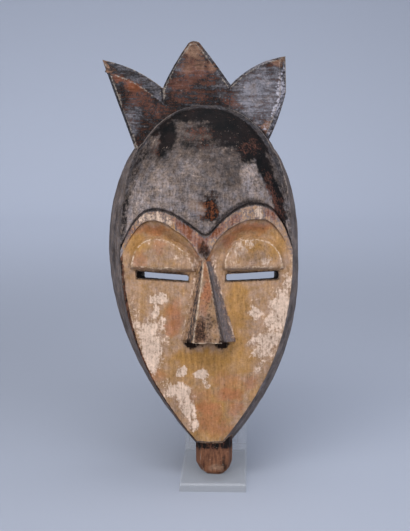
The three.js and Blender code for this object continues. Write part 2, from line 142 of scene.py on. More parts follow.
# Each slit's (x, low, high) at its two ends, and the x where the recess in front of it ends
SLITS = [
    dict(inner=(-16.6, 184.2, 189.6), outer=(-58.4, 186.5, 192.9), recess=-64.5),
    dict(inner=(18.5, 184.7, 190.8), outer=(62.9, 186.8, 193.8), recess=66.6),
]
SLIT_OUTS = (96, 72, 62, 40)
SLIT_ROUND = 1.6
# The nose by height: its middle, the half widths of its three facets, and how far out their edges are
NOSE = dict(
    up=[129, 160, 193.5, 201, 213], x=[2, 1, -0.3, -1.3, -2],
    front=[13, 8, 2.6, 1.7, 1.5], steep=[19.5, 12.8, 6, 3.6, 3], flare=[25.2, 17.5, 9.5, 6.5, 5],
    out=[106, 99.5, 93, 89.6, 85.5], steep_out=[89, 87, 86.5, 86, 82], flare_out=[81, 81.5, 82, 81, 79],
)
NOSE_FOOT = 129
NOSE_TOP = 213
BRIDGE_LEVEL = 203
NOSTRILS = (-13.6, 15)
NOSTRIL = dict(half=4.2, low=122.6, middle=129, high=134, back=78, front=95)
# How far out the crown's front and back stand, at its foot and at its tips
CROWN_OUT = 57
CROWN_TIP_OUT = 52
CROWN_BACK = 30
CROWN_TIP_BACK = 37
CROWN_BACK_BEVEL = 2.5
CROWN_FOOT = 310
CROWN_TOP = 408
# Three lobes: start, and then edges of (x, up, sag, inset, drop)
LOBES = [
    ((-48, 298), [
        (-68.6, 307.4, 0, 1, 2), (-100.6, 391.4, 0, 2.6, 3), (-43.1, 364.6, 4, 11.5, 9),
        (-20, 326, 0, 1, 2),
    ]),
    ((-42, 318), [
        (-43.2, 363, 0, 1.5, 2), (-19, 406.4, 1.5, 2, 3), (-9, 407.4, 1.6, 2.5, 3),
        (21.1, 367.4, 0.5, 3, 3.5), (22, 318, 0, 1.5, 2),
    ]),
    ((2, 322), [
        (21, 367.6, 0, 1, 2), (72.4, 394.6, 5, 2.2, 3), (73, 361, 0, 5.5, 4.5),
        (56, 314, 1.5, 4.5, 4.5), (40, 300, 0, 1, 2),
    ]),
]
PEG_BACK = 38
# The peg's rings from its foot up: (up, shift, half width, how much shallower), and their corners as shares
PEG_SECTIONS = [(0, 1.3, 9.4, 3), (3, 1, 13.6, 1), (10, 0.2, 17, 0), (26, 0, 17.3, 0), (52, 0, 16.6, 0)]
PEG_FACETS = [(-1, 0), (-1, 0.62), (-0.72, 0.93), (-0.1, 1), (0.5, 0.97), (0.82, 0.8), (1, 0.42), (1, 0)]

# Fineness of the carved skin: columns across, and rows by family from the chin to the arch
COLUMNS = 148
ROW_COUNTS = dict(chin=88, nose_foot=5, cheek=60, socket=38, step=2, band=9, groove=4, dome=106)
WALL_RINGS = 22
HOLLOW_COLUMNS = 72
HOLLOW_ROWS = 90
HOLLOW_RINGS = 9
LOBE_STEPS = 10
CROWN_FACE_SIZE = 2.2
PEG_FACE_SIZE = 1.8
COLUMN_SPREAD = 1.08
DOME_ROW_SPREAD = 0.92
SHARP_ANGLE = 32

# Which part of the carving a point belongs to
FRONT, SIDE, BACK_RIM, HOLLOW, CROWN, PEG, CUT = range(7)


def smooth(value, low, high):
    """0 up to low, 1 from high on, and a soft step between."""
    t = np.clip((value - low) / (high - low), 0, 1)
    return t * t * (3 - 2 * t)


def mix(a, b, t):
    return a + (b - a) * t


def near(distance, width):
    """1 at no distance, and little left at twice the width."""
    return np.exp(-((distance / width) ** 2))


def most(*values):
    """The largest of several values, point by point."""
    return np.max(values, axis=0)


def half_at(shape, up):
    """Half the width of an outline at a height."""
    rise = np.clip((up - shape["level"]) / shape["crown"], 0, 1)
    over = (1 - rise ** shape["arch_power"]) ** (1 / shape["arch_power"])
    fall = np.clip((shape["level"] - up) / shape["taper"], 0, 1)
    return shape["half"] * np.where(up > shape["level"], over, 1 - fall ** shape["taper_power"])


def middle_at(shape, up):
    """The middle line of an outline, which leans a little."""
    below = shape["level"] - up
    return shape["middle"] + below * np.where(below > 0, shape["lean_below"], -shape["lean_above"])


def arch_at(shape, s):
    """The height of the arch at a share of the way across."""
    across = np.abs(s) * half_at(shape, shape["shoulder"]) / shape["half"]
    power = shape["arch_power"]
    return shape["level"] + shape["crown"] * (1 - across ** power) ** (1 / power)


def outline_point(shape, s, v):
    """The place at a share s across an outline, from -1 to 1, and a share v up it."""
    up = mix(shape["bottom"], arch_at(shape, s), v)
    side = mix(shape["bottom"], shape["shoulder"], v)
    return middle_at(shape, up) + s * half_at(shape, side), up


def edge_share(x, up):
    """Share of the way from the middle of the face to its edge."""
    across = np.abs(x - middle_at(FACE, up))
    low = across / np.maximum(half_at(FACE, np.minimum(up, FACE["level"])), 1e-6)
    power = FACE["arch_power"]
    rise = np.maximum(up - FACE["level"], 0) / FACE["crown"]
    high = ((across / FACE["half"]) ** power + rise ** power) ** (1 / power)
    return np.where(up <= FACE["level"], low, high)


def edge_out(up):
    """How far the edge of the face stands out: most at the eyes, less at the chin and the arch."""
    fall = np.clip((EYE_LEVEL - up) / (EYE_LEVEL - FACE["bottom"]), 0, 1.2)
    low = EYE_OUT - (EYE_OUT - CHIN_OUT) * fall ** 1.5
    high = EYE_OUT - (EYE_OUT - ARCH_OUT) * smooth(up, EYE_LEVEL, ARCH_LEVEL)
    return np.where(up < EYE_LEVEL, low, high)


def cheek_out(x, up):
    rise = CHIN_RISE + (CHEEK_RISE - CHIN_RISE) * smooth(up, FACE["bottom"], CHEEK_LEVEL)
    return edge_out(up) + rise * (1 - np.minimum(edge_share(x, up), 1) ** 2)


def dome_out(x, up):
    rise = BROW_RISE + (DOME_RISE - BROW_RISE) * smooth(up, BROW_LEVEL, DOME_LEVEL)
    return edge_out(up) + rise * (1 - np.minimum(edge_share(x, up), 1) ** 2.2) ** 0.85


def height_over(points):
    """A smooth height over a place across the face, through the points of an edge."""
    xs, ys = np.array(points, float).T
    gaps = np.diff(xs)
    steps = np.diff(ys) / gaps
    inner = (steps[1:] * gaps[:-1] + steps[:-1] * gaps[1:]) / (gaps[1:] + gaps[:-1])
    slopes = np.concatenate([steps[:1], inner, steps[-1:]])

    def at(x):
        x = np.clip(x, xs[0], xs[-1])
        i = np.clip(np.searchsorted(xs, x) - 1, 0, len(gaps) - 1)
        t = (x - xs[i]) / gaps[i]
        value = (1 + 2 * t) * (1 - t) ** 2 * ys[i] + t * t * (3 - 2 * t) * ys[i + 1]
        return value + gaps[i] * t * (1 - t) * ((1 - t) * slopes[i] - t * slopes[i + 1])

    return at


brow_top = height_over(BROW_TOP)
brow_low = height_over(BROW_LOW)


def band_out(x):
    """How far the brow band's upper edge stands out."""
    return dome_out(x, brow_top(x)) - BAND_SETBACK


def under_brow_out(x, up):
    """The cheek, lifted to meet the band from below, with the sunk eye sockets."""
    low = brow_low(x)
    below = np.maximum(low - up, 0)
    inside = 1 - np.minimum(edge_share(x, up), 1) ** 6
    lift = band_out(x) - BAND_SLOPE - BROW_STEP - cheek_out(x, low)
    channel = SOCKET_DEPTH * near(below - SOCKET_BELOW, SOCKET_WIDTH)
    return cheek_out(x, up) + inside * (lift * near(below, BROW_FADE) - channel)


def lid_foot(lid, x):
    return lid["foot"] + lid["tilt"] * (x - lid["peak"])


def lid_share(lid, x, up):
    """1 on the crest of the half-moon and less inside it."""
    outer_side = (x < lid["peak"]) == (lid["peak"] < 0)
    span = np.where(outer_side, lid["outer"], lid["inner"])
    power = np.where(outer_side, lid["outer_power"], lid["inner_power"])
    across = np.abs(x - lid["peak"]) / span
    rise = np.maximum(up - lid_foot(lid, x), 0) / lid["tall"]
    return (across ** power + rise ** power) ** (1 / power)


def lid_out(x, up):
    best = np.full(np.shape(x), -100.0)
    for lid in LIDS:
        rise = np.interp(lid_share(lid, x, up), LID_SHARES, LID_RISES)
        over = up - lid_foot(lid, x)
        lip = np.sqrt(np.clip(over / LID_LIP, 0, 1))
        rise = np.where(over > -0.01, rise - (1 - lip) * LID_LIP_DROP, BELOW_LID)
        best = np.maximum(best, cheek_out(x, up) + rise)
    return best


def nose_line(name, up):
    return np.interp(up, NOSE["up"], NOSE[name])


def nose_out(x, up):
    """How far the nose stands out, and 0 beside it and over it."""
    away = np.abs(x - nose_line("x", up))
    front, steep, flare = (nose_line(name, up) for name in ("front", "steep", "flare"))
    out, steep_out, flare_out = (nose_line(name, up) for name in ("out", "steep_out", "flare_out"))
    side = mix(out, steep_out, np.clip((away - front) / (steep - front), 0, 1))
    foot = mix(steep_out, flare_out - 2, (away - steep) / (flare - steep))
    height = np.where(away < steep, side, foot)
    return np.where((away > flare) | (up > NOSE_TOP), 0, height)


def noise_at(points, scale, offset=0.0, stretch=(1, 1, 1)):
    """Smooth noise from about -1 to 1 at many points, with a scale in millimetres.

    Each offset gives another noise, and stretch draws it out along the axes.
    """
    sized = points / (scale * np.array(stretch, float)) + offset
    return np.array([noise.noise(p) for p in sized.tolist()])


# ---------------------------------------------------------------------------------------------
# The head: a sheet for the face, drawn back into side walls, a flat rim and the hollow

COLUMN_KNOTS = np.array([-1, -0.2, -0.15, -0.1, 0.1, 0.15, 0.2, 1])


def nose_warp(s, up, left, right):
    """Places for the columns of a row, so that they run along the edges of the nose."""
    offsets = [-nose_line(name, up) for name in ("flare", "steep", "front")]
    offsets += [-offset for offset in reversed(offsets)]
    return np.interp(s, COLUMN_KNOTS, [left, *(nose_line("x", up) + offset for offset in offsets), right])


def nose_plain(up):
    """0 beside the nose, and 1 where the columns run as if there were none."""
    return float(min(smooth(up, NOSE_TOP - 4, NOSE_TOP + 30) + smooth(NOSE_FOOT - up, 3, 40), 1))


def row_table():
    """For each row of the face sheet: its family and its share of the way through it."""
    rows = [("chin", 0.0)]
    for name, count in ROW_COUNTS.items():
        rows += [(name, (k + 1) / count) for k in range(count)]
    return rows


ROWS = row_table()
FOOT_GAP = 0.3
STEP_TALL = 0.5


def eye_line(x):
    """The height of the lids' lower edge, from one eye across to the other."""
    left, right = (lid_foot(lid, x) for lid in LIDS)
    return mix(left, right, smooth(x, -10, 12)) - 0.05


def row_height(family, t, x):
    low, top = brow_low(x), brow_top(x)
    arch = arch_at(FACE, np.clip((x - FACE["middle"]) / half_at(FACE, FACE["shoulder"]), -1, 1))
    start, end = {
        "chin": (FACE["bottom"], NOSE_FOOT - FOOT_GAP),
        "nose_foot": (NOSE_FOOT - FOOT_GAP, NOSE_FOOT),
        "cheek": (NOSE_FOOT, eye_line(x)),
        "socket": (eye_line(x), low),
        "step": (low, low + STEP_TALL),
        "band": (low + STEP_TALL, top),
        "groove": (top, top + GROOVE_WIDTH),
        "dome": (top + GROOVE_WIDTH, np.maximum(arch, FACE["shoulder"])),
    }[family]
    return mix(start, end, t ** DOME_ROW_SPREAD if family == "dome" else t) + 0 * x


def row_out(family, t, x, up):
    inside = 1 - np.minimum(edge_share(x, up), 1) ** 14
    edge = edge_out(up)
    if family in ("chin", "nose_foot", "cheek", "socket"):
        base = under_brow_out(x, up)
    elif family == "step":
        base = mix(under_brow_out(x, brow_low(x)), mix(edge, band_out(x) - BAND_SLOPE, inside), t)
    elif family == "band":
        base = mix(edge, band_out(x) - BAND_SLOPE * (1 - t), inside)
    elif family == "groove":
        depth = GROOVE_DEPTH * np.sin(math.pi * min(0.18 + 0.82 * t, 1)) ** 0.7
        base = dome_out(x, up) - depth * inside
    else:
        base = dome_out(x, up)
    if family == "nose_foot":
        return mix(base, np.maximum(base, nose_out(x, NOSE_FOOT)), t)
    if family != "chin":
        base = np.maximum(base, nose_out(x, up))
    if family == "socket":
        base = np.maximum(base, lid_out(x, up))
    return base


EDGE_ROUND, EDGE_DROP = 1.4, 0.5
ARCH_ROUND, ARCH_DROP = 4.5, 3.0
ARCH_ROUND_FROM, ARCH_ROUND_FULL = 270, 320


def edge_fall(x, up):
    """How far the skin falls back close to its edge: a narrow round at the sides, a wide one at the arch."""
    away = np.maximum(1 - edge_share(x, up), 0) * FACE["half"]
    high = smooth(up, ARCH_ROUND_FROM, ARCH_ROUND_FULL)
    width = mix(EDGE_ROUND, ARCH_ROUND, high)
    return mix(EDGE_DROP, ARCH_DROP, high) * np.clip(1 - away / width, 0, 1) ** 2


def face_sheet(bm, part):
    """A grid shaped into the face, with rows along the eyes, the brow and the arch."""
    bmesh.ops.create_grid(bm, x_segments=COLUMNS, y_segments=len(ROWS) - 1, size=1)
    columns, rows = {}, {}
    for v in bm.verts:
        rows.setdefault(round((v.co.y + 1) / 2 * (len(ROWS) - 1)), []).append(v)
    sides = np.array([FACE["middle"] - FACE["half"], FACE["middle"] + FACE["half"]])
    for index, members in rows.items():
        family, t = ROWS[index]
        s = np.array([v.co.x for v in members])
        s = np.sign(s) * np.abs(s) ** COLUMN_SPREAD
        ends = row_height(family, t, sides)
        half_left, half_right = half_at(FACE, ends)
        left, right = middle_at(FACE, ends) + np.array([-half_left, half_right])
        centre = float(row_height(family, t, 0.0))
        warped, plain_share = nose_warp(s, centre, left, right), nose_plain(centre)
        x = FACE["middle"] + s * mix(FACE["half"], half_at(FACE, FACE["shoulder"]), t * (family == "dome"))
        for _ in range(3):
            up = row_height(family, t, x)
            x = mix(warped, middle_at(FACE, up) + s * np.where(s < 0, half_left, half_right), plain_share)
        up = row_height(family, t, x)
        out = row_out(family, t, x, up) - edge_fall(x, up)
        for k, v in enumerate(members):
            v.co = local_point(x[k], up[k], out[k])
            v[part] = FRONT
            columns[v] = s[k]
    return columns


def extruded(bm, edges):
    """Draws edges out into a strip of faces: its new vertices and its open edges."""
    made = bmesh.ops.extrude_edge_only(bm, edges=edges)["geom"]
    verts = [g for g in made if isinstance(g, bmesh.types.BMVert)]
    return verts, [g for g in made if isinstance(g, bmesh.types.BMEdge) and g.is_boundary]


def draw_back(bm, places, ring, target, shares, bow, part, value):
    """Draws the open edge of a sheet, ring by ring, to an outline in the plane of the back."""
    order = bm.verts.layers.int["order"]
    paths = []
    for v in {v for e in ring for v in e.verts}:
        s, share = places[v]
        x, up = (float(n) for n in outline_point(target, s, float(np.clip(share, 0, 1))))
        lean = Vector((x - target["middle"], 0, up - target["level"])).normalized() * bow
        v[order] = len(paths)
        paths.append((v.co.copy(), local_point(x, up, 0), lean))
    for share in shares:
        verts, ring = extruded(bm, ring)
        for v in verts:
            start, end, lean = paths[v[order]]
            v.co = start.lerp(end, share) + lean * math.sin(math.pi * share)
            v[part] = value
    return ring


def move_ring(bm, ring, inward, part):
    """One more ring in the flat of the rim, moved across it."""
    verts, ring = extruded(bm, ring)
    middle = sum((v.co for v in verts), Vector()) / len(verts)
    for v in verts:
        v.co -= Vector((v.co.x - middle.x, 0, v.co.z - middle.z)).normalized() * inward
        v.co.y = 0
        v[part] = BACK_RIM
    return ring


def edge_places(ring, columns, shape):
    """For the vertices on the edge of a sheet: their place across it, and up it."""
    places = {}
    for v in {v for e in ring for v in e.verts}:
        share = (v.co.z - shape["bottom"]) / (shape["shoulder"] - shape["bottom"])
        if abs(columns[v]) < 0.9999:
            share = 0.0 if v.co.z < shape["level"] else 1.0
        places[v] = (columns[v], share)
    return places


DEEP_HOLLOW_FROM, DEEP_HOLLOW_FULL = 205, 265


def hollow_sheet(bm, part):
    """The floor of the hollow, behind the skin of the face by the thickness of the wall."""
    columns = {}
    for v in bmesh.ops.create_grid(bm, x_segments=HOLLOW_COLUMNS, y_segments=HOLLOW_ROWS, size=1)["verts"]:
        s, t = v.co.x, (v.co.y + 1) / 2
        x, up = (float(n) for n in outline_point(HOLLOW_FLOOR, s, t))
        dome_share = smooth(up, DEEP_HOLLOW_FROM, DEEP_HOLLOW_FULL)
        skin = float(mix(cheek_out(x, up), dome_out(x, up), dome_share))
        v.co = local_point(x, up, skin - WALL - SIDE_WALL_MORE * abs(s) ** 3)
        v[part] = HOLLOW
        columns[v] = s
    return columns


def head():
    """The face with its side walls, the flat rim at the back, and the hollow: one closed skin."""
    bm = bmesh.new()
    part = bm.verts.layers.float.new("part")
    bm.verts.layers.int.new("order")
    columns = face_sheet(bm, part)
    ring = [e for e in bm.edges if e.is_boundary]
    walls = [0.014, 0.03] + [k / WALL_RINGS for k in range(1, WALL_RINGS)] + [0.98, 1.0]
    ring = draw_back(bm, edge_places(ring, columns, FACE), ring, RIM, walls, SIDE_BOW, part, SIDE)
    outer = move_ring(bm, ring, OUTER_RIM_STEP, part)
    taken = set(outer)
    columns = hollow_sheet(bm, part)
    ring = [e for e in bm.edges if e.is_boundary and e not in taken]
    walls = [k / HOLLOW_RINGS for k in range(1, HOLLOW_RINGS)] + [0.975, 1.0]
    places = edge_places(ring, columns, HOLLOW_FLOOR)
    ring = draw_back(bm, places, ring, HOLLOW_MOUTH, walls, HOLLOW_BOW, part, HOLLOW)
    inner = move_ring(bm, ring, -INNER_RIM_STEP, part)
    bmesh.ops.triangle_fill(bm, use_beauty=True, edges=outer + inner)
    bmesh.ops.remove_doubles(bm, verts=[v for v in bm.verts if v.co.y > -2], dist=0.03)
    return bm


# ---------------------------------------------------------------------------------------------
# Crown, peg and the blocks that cut the openings


def loft(bm, rings):
    """A closed skin: a face drawn from one ring of points to the next."""
    order = bm.verts.layers.int.get("order") or bm.verts.layers.int.new("order")
    verts = [bm.verts.new(p) for p in rings[0]]
    for k, v in enumerate(verts):
        v[order] = k
    face = bm.faces.new(verts)
    for k, ring in enumerate(rings[1:]):
        before = face
        made = bmesh.ops.extrude_face_region(bm, geom=[before])["geom"]
        face = next(g for g in made if isinstance(g, bmesh.types.BMFace))
        for v in face.verts:
            v.co = ring[v[order]]
        if k > 0:
            bmesh.ops.delete(bm, geom=[before], context="FACES_ONLY")


def lobe_rim(start, edges):
    """Points round a lobe, each with the inset and drop of the edge that begins there."""
    rim = []
    x0, y0 = start
    for x1, y1, sag, inset, drop in [*edges, (*start, 0, 1, 2)]:
        dx, dy = x1 - x0, y1 - y0
        steps = LOBE_STEPS if sag else 1
        for k in range(steps):
            t = k / steps
            rise = sag * 4 * t * (1 - t) / math.hypot(dx, dy)
            rim.append((x0 + dx * t - dy * rise, y0 + dy * t + dx * rise, inset, drop))
        x0, y0 = x1, y1
    return rim


def lobe_inner(rim):
    """The same points moved inwards by the insets of the two edges that meet there."""
    inner = []
    for k, (x, y, second, _) in enumerate(rim):
        px, py, first, _ = rim[k - 1]
        nx, ny = rim[(k + 1) % len(rim)][:2]
        a = Vector((x - px, y - py)).normalized()
        b = Vector((nx - x, ny - y)).normalized()
        turn = a.x * b.y - a.y * b.x
        if abs(turn) < 0.12:
            depth = (first + second) / 2
            inner.append((x + b.y * depth, y - b.x * depth))
        else:
            along = (first - second * a.dot(b)) / turn
            inner.append((x + b.y * second - b.x * along, y - b.x * second - b.y * along))
    return inner


def crown_back(up):
    return float(mix(CROWN_BACK, CROWN_TIP_BACK, smooth(up, CROWN_FOOT, CROWN_TOP)))


def crown_front(up):
    return float(mix(CROWN_OUT, CROWN_TIP_OUT, smooth(up, CROWN_FOOT, CROWN_TOP)))


def crown_lobe(bm, start, edges):
    """One point of the crown, with bevels that draw its rim in to the front and the back."""
    rim = lobe_rim(start, edges)
    inner = lobe_inner(rim)
    drops = [(rim[k][3] + rim[k - 1][3]) / 2 for k in range(len(rim))]
    loft(bm, [
        [local_point(x, up, crown_back(up)) for x, up in inner],
        [local_point(x, up, crown_back(up) + CROWN_BACK_BEVEL) for x, up, *_ in rim],
        [local_point(x, up, crown_front(up) - drop) for (x, up, *_), drop in zip(rim, drops)],
        [local_point(x, up, crown_front(up)) for x, up in inner],
    ])


def peg(bm):
    """The peg under the chin, its foot cut level for the plate."""
    rings = []
    for k, (up, shift, half, shallow) in enumerate(PEG_SECTIONS):
        ring = []
        for x, share in PEG_FACETS:
            out = mix(PEG_BACK + shallow, PEG_FRONT - shallow, share)
            level = PEG_FOOT + up + (PEG_FRONT - out) * math.tan(LEAN) * (k < 3)
            ring.append(local_point(PEG_MIDDLE + shift + x * half, level, out))
        rings.append(ring)
    loft(bm, rings)


def bevelled(bm, edges, width, segments):
    bmesh.ops.bevel(
        bm, geom=edges, offset=width, offset_type="OFFSET", affect="EDGES", segments=segments, profile=0.5,
        material=-1, clamp_overlap=True,
    )


def slit_block(bm, inner, outer, recess):
    """What is cut away for an eye slit: wide in front of the lids, and narrow through the wall."""
    x, *levels = inner
    rings = []
    for end, out in zip((recess, recess, outer[0], outer[0]), SLIT_OUTS):
        corners = [(x, levels[0]), (end, outer[1]), (end, outer[2]), (x, levels[1])]
        rings.append([local_point(*corner, out) for corner in corners])
    loft(bm, rings)
    bevelled(bm, [e for e in bm.edges if abs((e.verts[0].co - e.verts[1].co).y) > 5], SLIT_ROUND, 3)


def nostril_block(bm, x):
    """What is cut away for a nostril: a slot from below that narrows upwards."""
    half, low, middle, high, back, front = NOSTRIL.values()
    rings = []
    for share, up in ((1, low), (1, middle), (0.25, high)):
        wide, out = half * share, mix(back, front, share)
        corners = [(x - wide, back), (x + wide, back), (x + wide * 0.7, out), (x - wide * 0.7, out)]
        rings.append([local_point(side, up, depth) for side, depth in corners])
    loft(bm, rings)


def in_scene(name, data):
    made = bpy.data.objects.new(name, data)
    bpy.context.scene.collection.objects.link(made)
    return made


def object_of(bm, name):
    """Makes the mesh an object, with its faces pointing outwards."""
    bmesh.ops.recalc_face_normals(bm, faces=bm.faces)
    mesh = bpy.data.meshes.new(name)
    bm.to_mesh(mesh)
    bm.free()
    return in_scene(name, mesh)


def worked(target, operation, solids):
    """Joins solids to a target, or cuts them out of it."""
    for solid in solids:
        modifier = target.modifiers.new(operation, "BOOLEAN")
        modifier.operation, modifier.object, modifier.solver = operation, solid, "MANIFOLD"
        bpy.context.view_layer.update()
        shown = target.evaluated_get(bpy.context.evaluated_depsgraph_get())
        mesh = bpy.data.meshes.new_from_object(shown)
        target.modifiers.clear()
        target.data = mesh
        bpy.data.objects.remove(solid)
    return target


def evenly_meshed(target, size):
    """Cuts a flat-sided solid along planes that are a size apart, which keeps its own edges crisp."""
    bm = bmesh.new()
    bm.from_mesh(target.data)
    points = np.array([v.co for v in bm.verts], float)
    for axis in range(3):
        normal = Vector((axis == 0, axis == 1, axis == 2))
        low, high = points[:, axis].min(), points[:, axis].max()
        count = int((high - low) / size)
        for k in range(1, count):
            place = normal * (low + (high - low) * k / count + 0.013)
            whole = [*bm.verts, *bm.edges, *bm.faces]
            bmesh.ops.bisect_plane(bm, geom=whole, dist=0.02, plane_co=place, plane_no=normal)
    bm.to_mesh(target.data)
    bm.free()
    return target


def marked(target, value):
    """Says for each point of a solid which part of the carving it is."""
    layer = target.data.attributes.get("part") or target.data.attributes.new("part", "FLOAT", "POINT")
    layer.data.foreach_set("value", np.full(len(target.data.vertices), value, np.float32))
    return target


def shaped(name, shape, *facts, **named):
    """A solid of its own, made by one of the functions above."""
    bm = bmesh.new()
    shape(bm, *facts, **named)
    return object_of(bm, name)


def carved_solid():
    body = object_of(head(), "carved_mask")
    first, *others = [shaped("crown_lobe", crown_lobe, *lobe) for lobe in LOBES]
    crown = marked(evenly_meshed(worked(first, "UNION", others), CROWN_FACE_SIZE), CROWN)
    stem = marked(evenly_meshed(shaped("peg", peg), PEG_FACE_SIZE), PEG)
    cuts = [shaped("slit", slit_block, **slit) for slit in SLITS]
    cuts += [shaped("nostril", nostril_block, x) for x in NOSTRILS]
    worked(body, "UNION", [crown, stem])
    return worked(body, "DIFFERENCE", [marked(cut, CUT) for cut in cuts])


# ---------------------------------------------------------------------------------------------
# The marks of the blade and of use: small moves of the skin, then where each finish lies on it,
# and where painted shade, sheen and highlights lie.
# Each place is (x, up, half width, half height, turn in degrees, strength) in millimetres.

KAOLIN = [
    (-43, 168, 10, 5, 0, 1), (-47, 157, 4, 10, 0, 0.95), (-41, 145, 4, 8, 0, 0.7),
    (-53, 137, 11, 14, 0, 0.95), (-51, 116, 12, 20, 0, 1), (-40, 129, 7, 5, 0, 0.6),
    (-54, 102, 7, 9, -15, 0.9), (-64, 142, 5, 10, 0, 0.6), (-24, 100, 6, 5, 0, 1), (-4, 96, 6, 7, 25, 1),
    (0, 87, 4, 3, -30, 0.8), (-25, 80, 13, 9, -10, 1), (-16, 66, 8, 12, 15, 1), (-11, 51, 5, 9, 10, 0.85),
    (-36, 87, 6, 7, 0, 0.6), (69, 158, 11, 20, 0, 1.1), (61, 147, 9, 9, 0, 0.8), (58, 131, 18, 9, 10, 0.95),
    (52, 119, 13, 8, 20, 0.75), (45, 155, 7, 7, 0, 1), (46, 168, 4, 3, 0, 0.4), (51, 106, 4, 9, -15, 0.55),
    (64, 119, 5, 11, -20, 0.5), (75, 181, 5, 13, 0, 0.8), (71, 193, 3, 7, 0, 0.5),
    (-68, 150, 6, 19, 8, 0.45), (-23, 208, 11, 7, 0, 0.5), (-49, 211, 5, 9, 0, 0.4),
    (31, 213, 7, 7, 0, 0.6), (26, 202, 9, 4, 0, 0.5), (54, 203, 7, 4, 0, 0.8), (39, 220, 8, 3, -10, 0.7),
    (-9, 201, 5, 6, 0, 0.7), (7, 202, 4, 7, 0, 0.55),
]
WARM = [
    (-29, 150, 8, 15, 0, 0.8), (-33, 139, 6, 7, 0, 0.7), (21, 79, 13, 7, 0, 0.9), (1, 64, 10, 8, 0, 0.9),
    (9, 47, 15, 8, 0, 0.7), (28, 65, 7, 7, 0, 0.6), (41, 89, 7, 6, 40, 0.6), (-49, 232, 20, 5, 0, 0.7),
    (40, 235, 22, 6, 0, 0.8), (20, 223, 9, 6, 40, 0.8), (-61, 202, 9, 7, 0, 0.5), (-43, 216, 7, 6, 0, 0.5),
    (-47, 97, 9, 7, -35, 0.5), (-55, 115, 5, 11, -30, 0.5), (-2, 210, 8, 9, 0, 1), (4, 55, 12, 10, 0, 0.7),
    (22, 92, 14, 7, 0, 0.45), (-5, 76, 12, 6, 0, 0.4),
]
GOLD = [
    (29, 163, 11, 26, 0, 0.9), (27, 126, 11, 20, 0, 0.8), (-1, 112, 37, 9, 0, 1), (-33, 96, 13, 8, 0, 0.6),
    (9, 88, 24, 11, 0, 0.5), (-19, 88, 15, 7, 0, 0.4), (-35, 156, 7, 6, 0, 0.5), (-61, 167, 7, 15, 0, 0.3),
    (44, 217, 11, 6, 0, 0.8), (61, 209, 7, 7, 0, 0.6), (-26, 222, 9, 6, -40, 0.5),
    (-43, 226, 17, 5, 0, 0.5), (36, 224, 20, 5, 0, 0.5), (46, 79, 7, 7, 0, 0.4), (15, 63, 6, 7, 0, 0.4),
    (4, 71, 5, 5, 0, 0.3), (-65, 217, 9, 12, 20, 0.9), (65, 218, 9, 12, -20, 0.8),
    (-46, 231, 20, 4, 0, 0.7), (42, 232, 20, 4, 0, 0.7), (-1, 104, 30, 12, 0, 0.9),
    (33, 110, 14, 14, 0, 0.7), (6, 62, 18, 18, 0, 0.75), (24, 84, 16, 12, 30, 0.6), (3, 42, 16, 8, 0, 0.7),
    (-30, 92, 12, 10, 0, 0.5),
]
BAND_WHITE = [
    (-52, 243, 16, 5, 0, 0.8), (-35, 240, 7, 4, -30, 0.6), (-59, 241, 6, 4, 20, 0.7),
    (48, 248, 3, 6, 0, 0.9), (36, 247, 5, 4, 0, 0.5),
]
BAND_RED = [
    (-18, 232, 13, 6, -40, 0.9), (-9, 222, 6, 7, 0, 0.8), (8, 230, 13, 5, 40, 0.9),
    (24, 241, 8, 5, 30, 0.7), (60, 247, 7, 5, -25, 0.8), (-3, 216, 6, 8, 0, 1), (-69, 232, 7, 4, 40, 0.5),
]
NOSE_RED = [
    (1, 177, 4, 13, 0, 1), (-1, 163, 5, 11, 0, 0.6), (-5, 138, 6, 12, 0, 0.6), (0, 195, 5, 9, 0, 0.6),
]
NOSE_DARK = [(-5, 139, 7, 12, 0, 1), (4, 148, 5, 7, 0, 0.6), (1, 132, 8, 5, 0, 0.5)]
STAIN = [
    (-3, 339, 45, 8, 0, 1), (-37, 320, 8, 17, 0, 1), (-42, 304, 5, 7, 0, 0.8), (23, 325, 25, 18, -10, 1),
    (41, 308, 15, 14, 0, 1), (54, 287, 6, 22, 22, 1), (64, 263, 5, 22, 15, 1), (70, 237, 4, 18, 5, 0.9),
    (-60, 302, 5, 16, -25, 0.35), (-69, 279, 5, 22, -14, 0.2), (-76, 248, 3, 22, -6, 0.4),
    (-78, 218, 3, 18, 0, 0.4), (-6, 324, 13, 6, 0, 0.5), (-9, 312, 15, 7, 0, 0.45),
    (-51, 324, 9, 7, 30, 0.7),
]
BROWN_WEAR = [
    (-10, 319, 15, 9, 0, 0.5), (-3, 308, 9, 8, 0, 0.4), (62, 255, 6, 26, 12, 0.6), (40, 309, 11, 7, 0, 0.5),
    (33, 305, 7, 5, 0, 0.5), (58, 273, 5, 16, 20, 0.6), (-12, 320, 7, 5, 0, 0.7), (-1, 324, 5, 4, 0, 0.6),
    (-47, 309, 5, 11, 0, 0.5), (68, 250, 5, 15, 10, 0.5),
]
FOREHEAD_ORANGE = [
    (4, 254, 8, 8, 0, 0.85), (6, 247, 7, 7, 0, 0.9), (9, 263, 5, 4, -20, 0.4), (-1, 243, 6, 3, 0, 0.5),
]
FOREHEAD_TAN = [(-9, 252, 8, 6, 0, 0.9), (-5, 248, 5, 5, 0, 0.8)]
FILM_LIGHT = [
    (40, 285, 8, 15, 10, 1), (43, 270, 11, 7, 0, 0.6), (-42, 268, 15, 24, 0, 0.6),
    (-60, 254, 9, 16, 0, 0.9), (-66, 264, 7, 17, -8, 0.7), (-15, 288, 13, 11, 0, 0.4),
    (-31, 254, 9, 9, 0, 0.4), (-10, 264, 7, 16, 0, 0.3), (-71, 241, 5, 13, 0, 0.5),
    (-15, 320, 5, 9, 0, 0.5), (-1, 321, 4, 8, 0, 0.45), (-58, 303, 3, 9, -10, 0.45),
    (41, 294, 4, 7, 0, 0.4),
]
